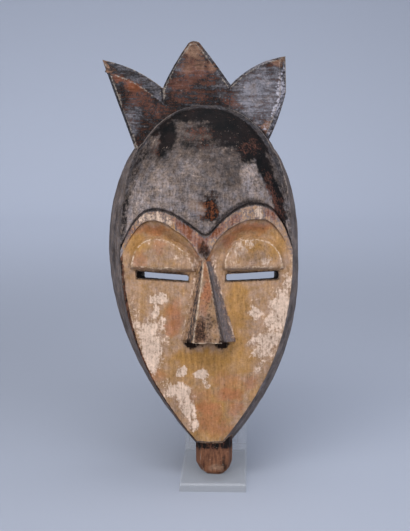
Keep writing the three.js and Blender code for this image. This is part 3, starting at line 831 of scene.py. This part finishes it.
FILM_DARK = [
    (-8, 316, 20, 14, 0, 0.8), (24, 288, 9, 18, 0, 1), (6, 292, 10, 9, 0, 0.5), (-4, 262, 5, 10, 0, 0.4),
    (-46, 300, 9, 8, 0, 0.6),
]
# Painted shadow under the nose and in its nostrils, painted shade on and beside the lids, and dark patches at
# the root of the nose
SHADE_AND_DARK_PATCHES = [
    (-13.5, 126, 8, 4.5, 0, 1), (14.5, 126, 8, 4.5, 0, 1), (0, 127, 14, 3, 0, 0.5),
    (-9, 205, 3, 4, 0, 0.45), (-2, 212, 7, 10, 0, 0.82), (-21, 194, 8, 4, 0, 0.4), (20, 195, 8, 4, 0, 0.36),
    (23, 180, 3, 12, 0, 0.25), (46, 211, 24, 13, 0, 0.46), (-46, 209, 22, 11, 0, 0.40),
]
CROWN_TAN = [
    (-97, 385, 5, 8, 15, 1), (-91, 381, 4, 5, 0, 0.6), (-14, 400, 9, 9, 0, 0.9), (-8, 388, 7, 7, 0, 0.5),
    (68, 389, 6, 5, 0, 0.8), (56, 329, 5, 7, -20, 0.6), (-21, 383, 6, 6, 0, 0.4), (4, 385, 5, 5, -40, 0.6),
]
CROWN_RED = [
    (-69, 368, 12, 7, -20, 1), (-85, 376, 8, 5, -20, 0.8), (-12, 379, 15, 9, 0, 0.75),
    (-25, 367, 13, 6, 0, 0.7), (2, 372, 6, 7, -30, 0.4), (65, 389, 7, 4, 0, 0.5), (22, 352, 9, 6, -20, 0.5),
    (-17, 357, 17, 7, 0, 0.35), (-64, 353, 13, 9, 0, 0.45), (-50, 343, 12, 7, 0, 0.35),
]
CROWN_ORANGE = [(-69, 367, 9, 6, -20, 0.75), (-84, 375, 5, 4, -20, 0.5)]
# Grey on the crown: dust, and on its right point partly a painted sheen
CROWN_GREY_AND_SHEEN = [
    (47, 358, 21, 28, 0, 1), (30, 362, 9, 9, 0, 0.6), (58, 344, 11, 17, 0, 0.9), (-75, 329, 11, 15, 0, 0.7),
    (-71, 342, 9, 9, 0, 0.4), (-26, 387, 6, 11, -20, 0.5), (39, 376, 13, 9, 30, 0.6),
    (64, 366, 8, 22, 0, 0.8), (-55, 373, 21, 7, -35, 0.5), (9, 385, 6, 15, 28, 0.6),
    (-7, 392, 6, 7, 0, 0.4), (11, 364, 8, 7, 0, 0.35),
]
# Light specks on the right point's edge: wear, and partly painted glints
CROWN_SPECKLE_AND_GLINT = [
    (68, 361, 4, 22, -5, 1), (64, 346, 4, 11, -20, 0.9), (56, 327, 5, 8, -25, 0.7),
    (71, 377, 3, 11, 0, 0.7),
]
PEG_TAN = [(PEG_MIDDLE + 3, PEG_FOOT + 7, 6, 4.5, 0, 0.9)]
PEG_DARK = [(PEG_MIDDLE + 10, PEG_FOOT + 10, 2.5, 9, 0, 0.8), (PEG_MIDDLE - 4, PEG_FOOT + 19, 3, 4, 0, 0.4)]


def read(rows, name, count, kind=np.float32):
    """One kind of number from every row of a mesh."""
    values = np.zeros(count, kind)
    rows.foreach_get(name, values)
    return values


class Skin:
    """The carving's points with what the marks and finishes need to know about them."""

    def __init__(self, mesh):
        count = len(mesh.vertices)
        self.points = read(mesh.vertices, "co", count * 3).reshape(-1, 3).astype(float)
        self.normals = read(mesh.vertex_normals, "vector", count * 3).reshape(-1, 3).astype(float)
        self.edges = read(mesh.edges, "vertices", len(mesh.edges) * 2, np.int32).reshape(-1, 2)
        self.part = np.rint(read(mesh.attributes["part"].data, "value", count)).astype(int)
        self.x, self.up = self.points[:, 0], self.points[:, 2]

    def ridges(self, rounds):
        """How far each point stands out of its surroundings, in mm: plus on edges, and minus in corners."""
        a, b = self.edges.T
        count = len(self.points)
        degree = np.maximum(np.bincount(a, minlength=count) + np.bincount(b, minlength=count), 1)
        soft = self.points.T
        for _ in range(rounds):
            sums = [np.bincount(a, row[b], count) + np.bincount(b, row[a], count) for row in soft]
            soft = 0.5 * soft + 0.5 * np.array(sums) / degree
        return ((self.points - soft.T) * self.normals).sum(axis=1)

    def is_part(self, *parts):
        return np.isin(self.part, parts).astype(float)


def blade_marks(skin):
    """How far each point moves along its normal."""
    p = skin.points
    grain = noise_at(p, 6, 7, (1, 6, 7))
    strokes = noise_at(p, 2.6, 19, (6, 3, 1)) * np.clip(-skin.normals[:, 1], 0, 1)
    facets = noise_at(p, 9, 53, (1, 7, 1))
    gouges = np.abs(noise_at(p, 10, 71, (1, 1, 2.2)))
    move = 0.28 * noise_at(p, 34) + 0.10 * noise_at(p, 9, 31)
    move += 0.10 * grain * skin.is_part(FRONT) + 0.18 * grain * skin.is_part(PEG)
    move += 0.30 * facets * skin.is_part(SIDE) + 0.22 * strokes * skin.is_part(CROWN)
    move -= 1.8 * gouges * skin.is_part(HOLLOW)
    return move * mix(1, 0.3, skin.is_part(BACK_RIM, CUT))


def edge_wear(skin):
    """Edges are rubbed back, here more and there less."""
    ridge = skin.ridges(3)
    chips = np.clip(0.5 + 1.4 * noise_at(skin.points, 6, 11) + 0.6 * noise_at(skin.points, 2.4, 23), 0, 1.6)
    return -np.clip(ridge - 0.08, 0, 1.0) * chips * 0.9


def spots(x, up, table):
    """How strongly points lie in the patches of a table."""
    total = np.zeros(len(x))
    for place_x, place_up, wide, tall, turn, strength in table:
        a = math.radians(turn)
        dx, dy = x - place_x, up - place_up
        u = (dx * math.cos(a) + dy * math.sin(a)) / wide
        v = (dy * math.cos(a) - dx * math.sin(a)) / tall
        total = np.maximum(total, strength * (1 - smooth(np.hypot(u, v), 0.5, 1.4)))
    return total


def slit_gap(x, up):
    """How far points lie outside the nearest eye slit, in millimetres."""
    gaps = []
    for slit in SLITS:
        (start, *inner), (_, *outer), end = slit["inner"], slit["outer"], slit["recess"]
        low, high = mix(np.array([inner]).T, np.array([outer]).T, np.clip((x - start) / (end - start), 0, 1))
        gaps.append(most(min(start, end) - x, x - max(start, end), low - up, up - high))
    return np.min(gaps, axis=0)


def finish_values(skin):
    """Named amounts from 0 to 1 at each point, for the material to lay its finishes by."""
    # Some amounts below are painted shade, sheen and highlights, said where each is made
    p, x0, up0 = skin.points, skin.x, skin.up
    front, crown, side, root, cut = (skin.is_part(k) for k in (FRONT, CROWN, SIDE, PEG, CUT))
    rear = skin.is_part(HOLLOW, BACK_RIM)

    # The patches have ragged edges: they are looked up at places moved by noise
    broad, fine = noise_at(p, 26, 41), noise_at(p, 3, 13)
    x = x0 + 3.6 * noise_at(p, 9, 3) + 2.0 * fine
    up = up0 + 4.4 * noise_at(p, 9, 5) + 2.6 * noise_at(p, 3, 17)

    def at(table):
        return spots(x, up, table)

    # Where on the face: below the upper edge of the brow band, on the band, and on the nose
    top, low = brow_top(x0), brow_low(x0)
    painted = smooth(top - up0, -0.2, 1.0)
    band = smooth(up0 - low, -0.4, 0.4) * painted
    forehead = (1 - painted) * front
    from_middle = x0 - nose_line("x", up0)
    away, right = np.abs(from_middle), smooth(from_middle, -0.5, 0.5)
    front_edge, steep_edge, flare_edge = (nose_line(name, up0) for name in ("front", "steep", "flare"))
    nose_high = (up0 > NOSE_FOOT - 0.4) & (up0 < BRIDGE_LEVEL)
    on_nose = (nose_high & (away < flare_edge + 0.4)) * front
    nose_front = smooth(front_edge - away, -0.6, 0.4)
    beside = 1 - nose_front
    nose_steep = smooth(steep_edge - away, -0.6, 0.6) * beside
    flare_wide = flare_edge - steep_edge
    nose_flare = smooth(away - steep_edge, mix(0.3, 0.0, right) * flare_wide, flare_wide + 0.8)

    # The face below the brow: ochre and white clay, off along the left edge and rubbed thin on the band
    left_gap = x0 - (middle_at(FACE, up0) - half_at(FACE, up0))
    bare = 0.7 + 1.3 * smooth(up0, 95, 165) * (1 - smooth(up0, 196, 215)) + 0.35 * fine
    margin = smooth(left_gap, bare, bare + 1.2)
    # The nose's right side gets less paint than its left, more grey film and more darkening: painted shade, as
    # if lit from the left
    nose_paint = nose_front * 0.80 + nose_steep * mix(0.40, 0.22, right)
    nose_paint += (1 - nose_front - nose_steep) * mix(0.66, 0.24, right)
    nose_paint = mix(nose_paint, mix(1, 0.54, right), nose_flare)
    paint = painted * margin * (1 - band * (0.42 + 0.3 * at(BAND_RED)))
    paint = mix(paint, nose_paint, on_nose) * front
    # A thin white line along the lids' crests: white clay, and partly a painted highlight of the lit crests
    crests = [near(lid_share(lid, x0, up0) - 1.0, 0.03) * (up0 > lid_foot(lid, x0) + 1) for lid in LIDS]
    kaolin = front * most(
        at(KAOLIN) * painted * margin * (1 - band) * (1 - 0.6 * on_nose),
        at(BAND_WHITE) * band * (1 - 0.6 * on_nose),
        0.72 * most(*crests),
        0.5 * on_nose * near(away - flare_edge, 2.2),
    )
    warm = most(at(WARM) * (1 - band), at(BAND_RED) * painted) * painted
    warm = most(warm, at(FOREHEAD_ORANGE) * (1 - painted))
    warm = mix(warm, at(NOSE_RED), on_nose * nose_front) * front
    warm = most(warm, at(CROWN_ORANGE) * crown)
    gold = at(GOLD) * front * (1 - on_nose)

    # Above the brow: black stain under a grey film that thins out at the edges and in patches
    share = edge_share(x0, up0)
    bald = spots(mix(x0, x, 0.55), mix(up0, up, 0.55), STAIN)
    feather = 4 * bald * (1 - bald) * noise_at(p, 3.5, 83, (2, 1, 1))
    over_brow = up0 - top
    # The groove over the brow gets less film and a darker line in it: partly painted shade
    groove_wide = 1.8 + 3.0 * smooth(x0, -2, 10) * (1 - smooth(x0, 38, 58))
    groove = smooth(over_brow, -0.5, 0.3) * (1 - smooth(over_brow, groove_wide, groove_wide + 2.4))
    # A band of grey film on the black along the arch's rounded upper edge: partly a painted highlight of that
    # edge
    ledge = smooth(share, 0.966, 0.985) * smooth(up0, 262, 296)
    thin_edge = mix(0.05, 0.2, smooth(x0, -20, 20)) * smooth(share, 0.86, 0.99)
    dome_film = 0.80 - 0.78 * bald + 0.3 * feather + 0.08 * broad
    dome_film -= thin_edge + 0.8 * at(FOREHEAD_ORANGE) + 0.16 * groove
    dome_light = 0.12 + 0.40 * smooth(292 - up0, 0, 55) + 0.5 * at(FILM_LIGHT) - 0.35 * at(FILM_DARK)
    dome_light = mix(dome_light, 0.06, ledge) - 0.35 * groove

    # The crown is stained dark, worn to the wood in places and dusty grey in others, the grey partly a
    # painted sheen on its right point, whose bevels are painted lighter too. The side walls are black under a
    # grey film that is partly a painted sheen, the back is bare, and the peg is brown under a black collar
    # that is partly painted shade under the chin.
    bevel = 1 - smooth(-skin.normals[:, 1], 0.84, 0.95)
    # grey on the crown, partly a painted sheen
    dusty = at(CROWN_GREY_AND_SHEEN)
    side_clouds = 0.35 * noise_at(p, 14, 61) + 0.2 * noise_at(p, 5, 67)
    # The dark collar is black stain, and partly painted shade under the chin
    collar = smooth(up0, 23.5 + 1.2 * fine, 26.5 + 1.2 * fine)
    tan = most(at(FOREHEAD_TAN) * forehead, at(CROWN_TAN) * crown, at(PEG_TAN) * root)
    brown = most(
        at(BROWN_WEAR) * forehead,
        (0.34 + at(CROWN_RED)) * crown * (1 - bevel),
        root * mix(0.3, 0.0, collar),
    )
    stain = most(
        mix(0.45, 0.95, 1 - painted) * front,
        0.8 * on_nose * nose_steep,
        0.95 * crown,
        (0.95 + 0.1 * broad) * side,
        mix(0.10, 0.62, collar) * root,
        (0.40 + 0.3 * broad) * rear,
        0.9 * cut,
    )
    film = most(
        mix(dome_film, 0.62, ledge) * forehead,
        # on the nose's sides the grey film is heavier on the right: part of its painted shade
        (0.35 + mix(0.3, 0.55, right) * beside) * on_nose,
        (0.85 - 0.5 * at(BAND_RED)) * band * front,
        mix(0.30 + 0.5 * dusty, 0.58, bevel) * (1 - 0.8 * at(CROWN_TAN)) * crown,
        # the side walls' grey film is partly a painted sheen
        (0.90 + 0.2 * broad) * side,
        0.2 * rear,
    )
    film_light = most(
        dome_light * forehead,
        0.72 * band * front,
        mix(0.2, 0.26, right) * on_nose * beside,
        # the crown's bevels painted lighter towards the right point: partly a painted highlight
        mix(0.16 + 0.2 * dusty, mix(0.14, 0.5, smooth(x0, 20, 40)), bevel) * crown,
        (0.27 + side_clouds) * side,
    )
    speckle = at(CROWN_SPECKLE_AND_GLINT) * crown
    cool = most(crown, 0.6 * ledge * front, 0.6 * band * front, 0.35 * on_nose * beside)

    # Darker places: in concave corners, front and back; painted shade in the groove over the brow, under the
    # brow band, under the lids' lower edge, round the slits, under the nose and on its right side; painted
    # shade on the lids; dark patches on the nose and the peg
    ridge = skin.ridges(7)
    deep = smooth(-ridge, 0.14, 0.8)
    shadow_under_lids = near(up0 - eye_line(x0) + 0.9, 1.1) * (1 - smooth(np.abs(np.abs(x0) - 43), 22, 29))
    down_side = (away - front_edge) / (steep_edge - front_edge)
    dark_marks_and_shade = most(
        deep * mix(0.45, 0.18, painted * (1 - band)) * front,
        0.2 * (1 - smooth(np.abs(over_brow - 0.7), 0.5, 1.3)) * front,
        # painted shadow under the brow band's lower edge
        0.42 * near(up0 - low + 0.5, 1.5) * front,
        # painted shade round the eye slits
        0.85 * (1 - smooth(slit_gap(x0, up0), 0.6, 2.6)) * painted * front,
        # painted shadow under the lids' overhanging lower edge
        0.8 * shadow_under_lids * front,
        at(SHADE_AND_DARK_PATCHES) * painted * front,
        (0.46 + 0.34 * at(NOSE_DARK)) * on_nose * nose_front,
        # painted shade down the nose's sides, darker on the right
        mix(0.5, 0.85, right) * (1 - smooth(down_side, 0.0, 0.95)) * on_nose * beside,
        0.9 * deep * (1 - front),
        at(PEG_DARK) * root,
    )

    # Rubbed edges, among them the nose's own, whose left edge is lighter than its right: partly a painted
    # highlight
    nose_edge_wear_and_highlight = most(
        near(away - front_edge, 1.3) * mix(1.0, 0.7, right),
        0.8 * (1 - smooth(up0 - NOSE_FOOT, 0.4, 1.8)) * nose_front,
    )
    worn = smooth(ridge, 0.10, 0.5) * (1 - 0.5 * side) * (1 - 0.35 * painted * front) * (1 - on_nose)
    worn = most(most(worn, on_nose * nose_edge_wear_and_highlight) * (1 - groove), 0.85 * crown * smooth(ridge, 0.06, 0.35))
    across = most(crown, 0.45 * forehead)
    return dict(
        paint=paint, kaolin=kaolin, warm=warm, gold=gold, stain=stain, film=film, film_light=film_light,
        tan=tan, brown=brown, speckle=speckle, worn=worn, dark_marks_and_shade=dark_marks_and_shade, across=across, cool=cool,
    )


def finish_skin(body):
    """Works the marks into the mesh, and leaves the finishes' amounts on it. Gives their names."""
    for marks in (blade_marks, edge_wear):
        skin = Skin(body.data)
        moved = skin.points + skin.normals * marks(skin)[:, None]
        body.data.vertices.foreach_set("co", moved.astype(np.float32).ravel())
        body.data.update()
    amounts = finish_values(Skin(body.data))
    for name, values in amounts.items():
        layer = body.data.attributes.new(name, "FLOAT", "POINT")
        layer.data.foreach_set("value", np.clip(values, 0, 1).astype(np.float32))
    body.data.attributes.remove(body.data.attributes["part"])
    return list(amounts)


mask = carved_solid()
finishes = finish_skin(mask)
mask.data.transform(PLACED)
mask.data.shade_smooth()
mask.data.set_sharp_from_angle(angle=math.radians(SHARP_ANGLE))
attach(mask, "root")
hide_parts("mask")

# ---------------------------------------------------------------------------------------------
# Materials


def colour(code):
    """An sRGB hex colour as linear values."""
    parts = [int(code[k:k + 2], 16) / 255 for k in (0, 2, 4)]
    return (*(c / 12.92 if c <= 0.04045 else ((c + 0.055) / 1.055) ** 2.4 for c in parts), 1)


def node(tree, kind, inputs=None, **settings):
    """Adds a node with its settings, and sets or links its inputs."""
    made = tree.nodes.new(kind)
    for name, value in settings.items():
        setattr(made, name, value)
    for name, value in (inputs or {}).items():
        if isinstance(value, bpy.types.NodeSocket):
            tree.links.new(value, made.inputs[name])
        else:
            made.inputs[name].default_value = value
    return made


def material(name):
    """A new material and its empty node tree."""
    made = bpy.data.materials.new(name)
    made.use_nodes = True
    made.node_tree.nodes.clear()
    return made, made.node_tree


def plain(name, code, roughness, **more):
    """A finish that is the same all over."""
    made, tree = material(name)
    looks = {"Base Color": colour(code), "Roughness": roughness, **more}
    shader = node(tree, "ShaderNodeBsdfPrincipled", looks)
    node(tree, "ShaderNodeOutputMaterial", {"Surface": shader.outputs[0]})
    return made


# The marks in the wood and its coats: their size in millimetres, the noise's detail and roughness, and
# how much longer they are drawn along each axis. Real scratches and pores are 0.2 to 0.5 mm wide, too
# fine to show here, so they are drawn 2 to 3 mm wide.
MARKS = dict(
    grain=(2.2, 4, 0.65, (1, 1, 14)), upright_scratches=(2.6, 5, 0.72, (1, 1, 8)),
    cross_scratches=(2.4, 5, 0.72, (7, 3, 1)), flecks=(4.0, 6, 0.78, (1, 1, 1)), grit=(1.9, 3, 0.7, (1, 1, 1)),
    patches=(7, 4, 0.65, (1, 1, 1)), clouds=(15, 5, 0.6, (1, 1, 1)),
)


def carved_hardwood(names):
    """Old hardwood cut with a blade, stained black and dusty, with earth paints rubbed thin over the face.

    The eye gets dry, chalky colour broken by specks and scratches, and a dull gleam where the stain is bare.
    """
    # Some coats stand partly for light: painted shade in corners and under the brow, lids and nose, painted
    # sheen on the side walls and crown, painted highlights on edges and crests
    made, tree = material("stained_and_painted_hardwood")
    place = node(tree, "ShaderNodeTexCoord").outputs["Object"]
    amount = {n: node(tree, "ShaderNodeAttribute", attribute_name=n).outputs["Fac"] for n in names}
    marks = []
    for name, (size, detail, rough, stretch) in MARKS.items():
        drawn = node(tree, "ShaderNodeMapping", {"Vector": place, "Scale": [1 / n for n in stretch]})
        texture = node(tree, "ShaderNodeTexNoise", {
            "Vector": drawn.outputs[0], "Scale": 1000 / size, "Detail": detail, "Roughness": rough,
        }, label=name)
        centred = node(tree, "ShaderNodeMath", {0: texture.outputs["Fac"], 1: 0.5}, operation="SUBTRACT")
        marks.append(centred.outputs[0])
    grain, upright, strokes, flecks, grit, patches, clouds = marks
    scratches = node(tree, "ShaderNodeMix", {0: amount["across"], 2: upright, 3: strokes}).outputs[0]
    warm, tan = amount["warm"], amount["tan"]

    def weighed(terms, plus=0.0):
        """Values times their weights, added up on top of a number or another value."""
        for value, weight in terms:
            step = {0: value, 1: weight, 2: plus}
            plus = node(tree, "ShaderNodeMath", step, operation="MULTIPLY_ADD").outputs[0]
        return plus

    def laid(below, above, terms, plus=0.0):
        """A colour laid over another as far as the weighed values say."""
        colours = {0: weighed(terms, plus), 6: below, 7: above}
        return node(tree, "ShaderNodeMix", colours, data_type="RGBA").outputs[2]

    # Bare wood, which stain has darkened, and warm and dusty patches in it
    wood = laid(colour("44291f"), colour("8c6046"), [(grain, 2.2)], 0.5)
    dark = laid(colour("33211e"), colour("784b3f"), [(strokes, 3)], 0.4)
    dusty = laid(colour("6a5345"), colour("93755f"), [(flecks, 3)], 0.5)
    wood = laid(wood, dark, [(amount["stain"], 0.85)])
    wood = laid(wood, colour("854a28"), [(warm, 0.7)])
    wood = laid(wood, dusty, [(tan, 0.85)])

    # The colours of the coats
    black = laid(colour("0b0c0d"), colour("1d1615"), [(clouds, 3)], 0.4)
    film = laid(colour("5d5048"), colour("ab978a"), [], amount["film_light"])
    cool_film = laid(colour("48474b"), colour("a7a4ad"), [], amount["film_light"])
    film = laid(film, cool_film, [(amount["cool"], 0.7), (patches, 2.2)], 0.28)
    ochre = laid(colour("a98d7a"), colour("9b7853"), [(patches, 3)], 0.5)
    ochre = laid(ochre, colour("a67a3f"), [(amount["gold"], 0.85)])
    ochre = laid(ochre, colour("a06242"), [(warm, 0.75), (flecks, 0.8)])
    rubbed = laid(colour("857a70"), colour("cfb69c"), [], amount["paint"])
    stain_left = weighed([(amount["brown"], -0.78), (tan, -0.8), (warm, -0.5)], amount["stain"])

    # Each coat lies where its amount, broken up by marks, is over a low value, and is whole over a high
    # one. Its roughness and its thickness in metres come last.
    tint, roughness, height = wood, 0.55, weighed([(grain, 0.0002)])
    for name, how_much, broken, low, high, coat, coat_rough, thick in (
        ("black stain", stain_left, [(scratches, 3.0), (grit, 1.6)], 0.22, 0.66, black, 0.62, 0.0001),
        # The grey film is partly painted sheen and highlight, on the side walls, the crown's right point and
        # the arch's edge
        ("grey film", amount["film"], [(flecks, 0.7), (scratches, 1.5), (grit, 0.7)],
         0.20, 1.08, film, 0.7, 0.00005),
        # light specks on the crown, partly painted glints
        ("worn specks and painted glints", amount["speckle"], [(grit, 2.4), (flecks, 2.0)], 0.45, 1.5, colour("b3afb8"), 0.55, 0),
        ("ochre paint", amount["paint"], [(flecks, 1.5), (scratches, 1.2), (grit, 1.1)],
         0.30, 0.72, ochre, 0.8, 0.00015),
        ("white clay", amount["kaolin"], [(flecks, 2.2), (upright, 1.4), (grit, 1.0)],
         0.38, 0.92, colour("cfb5a1"), 0.88, 0.0001),
        # Darker in corners, dark patches, and painted shade under the brow, the lids and the nose and round the
        # slits
        ("dirt in corners", amount["dark_marks_and_shade"], [(grit, 1.2), (flecks, 0.8)], 0.25, 0.95, colour("2a1e19"), 0.8, 0),
        ("rubbed edges", amount["worn"], [(grit, 1.6), (flecks, 1.2)], 0.45, 1.05, rubbed, 0.55, 0),
    ):
        span = {"Value": weighed(broken, how_much), "From Min": low, "From Max": high}
        cover = node(tree, "ShaderNodeMapRange", span, interpolation_type="SMOOTHSTEP", label=name).outputs[0]
        tint = laid(tint, coat, [], cover)
        roughness = node(tree, "ShaderNodeMix", {0: cover, 2: roughness, 3: coat_rough}).outputs[0]
        height = weighed([(cover, thick)], height)

    tone = weighed([(flecks, 1.0), (scratches, 1.2), (grit, 0.9), (clouds, 0.7)], 1.0)
    toned = node(tree, "ShaderNodeMix", {0: 1.0, 6: tint, 7: tone}, data_type="RGBA", blend_type="MULTIPLY")
    height = weighed([(flecks, 0.0004), (scratches, 0.0003)], height)
    relief = node(tree, "ShaderNodeBump", {"Height": height, "Distance": 1.0, "Strength": 1.0})
    shader = node(tree, "ShaderNodeBsdfPrincipled", {
        "Base Color": toned.outputs[2], "Roughness": roughness, "IOR": 1.5, "Specular IOR Level": 0.10,
        "Normal": relief.outputs[0],
    })
    node(tree, "ShaderNodeOutputMaterial", {"Surface": shader.outputs[0]})
    return made


mask.data.materials.clear()
mask.data.materials.append(carved_hardwood(finishes))

# ---------------------------------------------------------------------------------------------
# Stand

PLATE_BEVEL = 0.0016
PLATE_EDGE = 0.0035
UPRIGHT_THICK = 0.004
UPRIGHT_CORNER = 0.010
UPRIGHT_EDGE = 0.0009
CORNER_STEPS = 12
PLATE_CRISP = 0.0003
UPRIGHT_CRISP = 0.0004
CLEAR_SHARP_ANGLE = 20

# Cast acrylic, nearly clear: its faces only dim what is behind them, and its polished edges are painted lighter
# and less clear, a painted highlight for the light they gather
acrylic = plain("cast_clear_acrylic", "d0d2d4", 0.05, IOR=1.49, Alpha=0.17)
acrylic_edge_highlight = plain("acrylic_edge_painted_highlight", "cfd1d4", 0.15, IOR=1.49, Alpha=0.30)


def stand_plate(bm):
    """A block with a wide polished bevel round its top."""
    low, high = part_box("stand_base")
    bmesh.ops.create_cube(bm, size=1)
    bmesh.ops.scale(bm, vec=high - low, verts=bm.verts)
    bmesh.ops.translate(bm, vec=(low + high) / 2, verts=bm.verts)
    bevelled(bm, [e for e in bm.edges if min(v.co.z for v in e.verts) > high.z - 1e-6], PLATE_BEVEL, 1)
    bevelled(bm, [e for e in bm.edges if e.calc_face_angle(0) > 0.3], PLATE_CRISP, 2)


def stand_upright(bm):
    """A sheet bent round two corners, drawn up from its section."""
    low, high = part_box("stand_upright")
    half = (high.x - low.x) / 2
    outer, inner = [(-half, high.y)], [(-half + UPRIGHT_THICK, high.y)]
    for side, first in ((-1, 180), (1, 270)):
        for k in range(CORNER_STEPS + 1):
            a = math.radians(first + 90 * k / CORNER_STEPS)
            cx = side * (half - UPRIGHT_CORNER)
            for line, radius in ((outer, UPRIGHT_CORNER), (inner, UPRIGHT_CORNER - UPRIGHT_THICK)):
                line.append((cx + radius * math.cos(a), low.y + UPRIGHT_CORNER + radius * math.sin(a)))
    outer.append((half, high.y))
    inner.append((half - UPRIGHT_THICK, high.y))
    middle = (low.x + high.x) / 2
    section = [(middle + x, y) for x, y in outer + inner[::-1]]
    loft(bm, [[Vector((x, y, z)) for x, y in section] for z in (low.z, high.z)])
    bevelled(bm, [e for e in bm.edges if e.calc_face_angle(0) > 0.6], UPRIGHT_CRISP, 2)


def edges_highlighted(piece, narrow):
    """Gives the narrow faces of a clear piece, its bevels and cut edges, the finish of an edge."""
    piece.data.materials.append(acrylic)
    piece.data.materials.append(acrylic_edge_highlight)
    for face in piece.data.polygons:
        corners = [piece.data.vertices[k].co for k in face.vertices]
        sides = sorted((a - b).length for a, b in zip(corners, corners[1:] + corners[:1]))
        # the narrow faces get the lighter finish: a painted highlight
        face.material_index = int(sides[0] < narrow and sides[-1] > 4 * sides[0])


for name, shape, cad_node, narrow in (
    ("clear_base_plate", stand_plate, "stand_base", PLATE_EDGE),
    ("clear_upright", stand_upright, "stand_upright", UPRIGHT_EDGE),
):
    piece = shaped(name, shape)
    edges_highlighted(piece, narrow)
    piece.data.set_sharp_from_angle(angle=math.radians(CLEAR_SHARP_ANGLE))
    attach(piece, "root")
    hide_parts(cad_node)

# ---------------------------------------------------------------------------------------------
# Floor and backdrop, lights and camera

SWEEP = dict(half=3.5, front=-2.4, back=1.5, radius=0.6, tall=2.6, steps=24)


def sweep(bm):
    """A floor that curves up into a backdrop: a line of points drawn across."""
    half, front, back, radius, tall, steps = SWEEP.values()
    line = [(front, 0.0), (back, 0.0)]
    for k in range(1, steps + 1):
        a = math.radians(90 * k / steps)
        line.append((back + radius * math.sin(a), radius * (1 - math.cos(a))))
    line.append((back + radius, tall))
    verts = [bm.verts.new((-half, y, z)) for y, z in line]
    drawn, _ = extruded(bm, [bm.edges.new(pair) for pair in zip(verts, verts[1:])])
    for v in drawn:
        v.co.x = half


# Smooth matt paper, which shows only soft shadows and no texture at this distance
floor = shaped("studio_sweep", sweep)
floor.data.materials.append(plain("pale_studio_paper", "a5abb8", 0.9))
floor.data.shade_smooth()


def aimed(name, data, place, aim):
    """A light or camera that stands at a place and looks at another."""
    made = in_scene(name, data)
    made.location = place
    made.rotation_euler = (Vector(aim) - Vector(place)).to_track_quat("-Z", "Y").to_euler()
    return made


def area_light(name, place, aim, size, power, tint, spread=180):
    data = bpy.data.lights.new(name, "AREA")
    data.shape = "RECTANGLE"
    data.size, data.size_y = size
    data.energy = power
    data.spread = math.radians(spread)
    data.color = colour(tint)[:3]
    aimed(name, data, place, aim)


area_light("soft_key", (-0.8, -1.65, 1.3), (0, -0.05, 0.2), (2.2, 1.8), 25, "fffaf2")
area_light("soft_fill", (1.35, -1.45, 0.9), (0, 0, 0.2), (1.9, 1.5), 15, "f2f5ff")
area_light("front_top", (0.0, -0.9, 1.4), (0, -0.4, 0), (1.3, 0.6), 6, "f4f7ff", spread=120)
area_light("shadow_fill", (0.22, 0.17, 1.2), (0.18, 0.13, 0), (0.6, 0.6), 0.5, "f4f7ff", spread=60)
area_light("backdrop_wash", (-0.3, 1.3, 1.8), (-0.3, 1.6, 0.1), (2.4, 0.5), 8.6, "f4f7ff", spread=90)

world = bpy.data.worlds.new("studio_air")
bpy.context.scene.world = world
world.use_nodes = True
world.node_tree.nodes.clear()
air = node(world.node_tree, "ShaderNodeBackground", {"Color": colour("d5dbe8"), "Strength": 0.42})
node(world.node_tree, "ShaderNodeOutputWorld", {"Surface": air.outputs[0]})

# The camera stands where the photograph was taken from. Its place and aim are in the carving's
# upright millimetres, before the whole is set down on the stand. The focal length is in pixels of
# the photograph, like its taller side.
CAMERA_PLACE = Vector((41.82, -1280.94, 447.89))
CAMERA_AIM = Vector((-1, -54.65, 209.38))
SENSOR = 36
FOCAL_PIXELS = 1359
TALL_PIXELS = 531

lens = bpy.data.cameras.new("studio_camera")
lens.sensor_width = SENSOR
lens.lens = SENSOR * FOCAL_PIXELS / TALL_PIXELS
foot = PLACED.to_translation()
bpy.context.scene.camera = aimed(
    "studio_camera", lens, CAMERA_PLACE * 0.001 + foot, CAMERA_AIM * 0.001 + foot,
)
bpy.context.scene.view_settings.view_transform = "Standard"
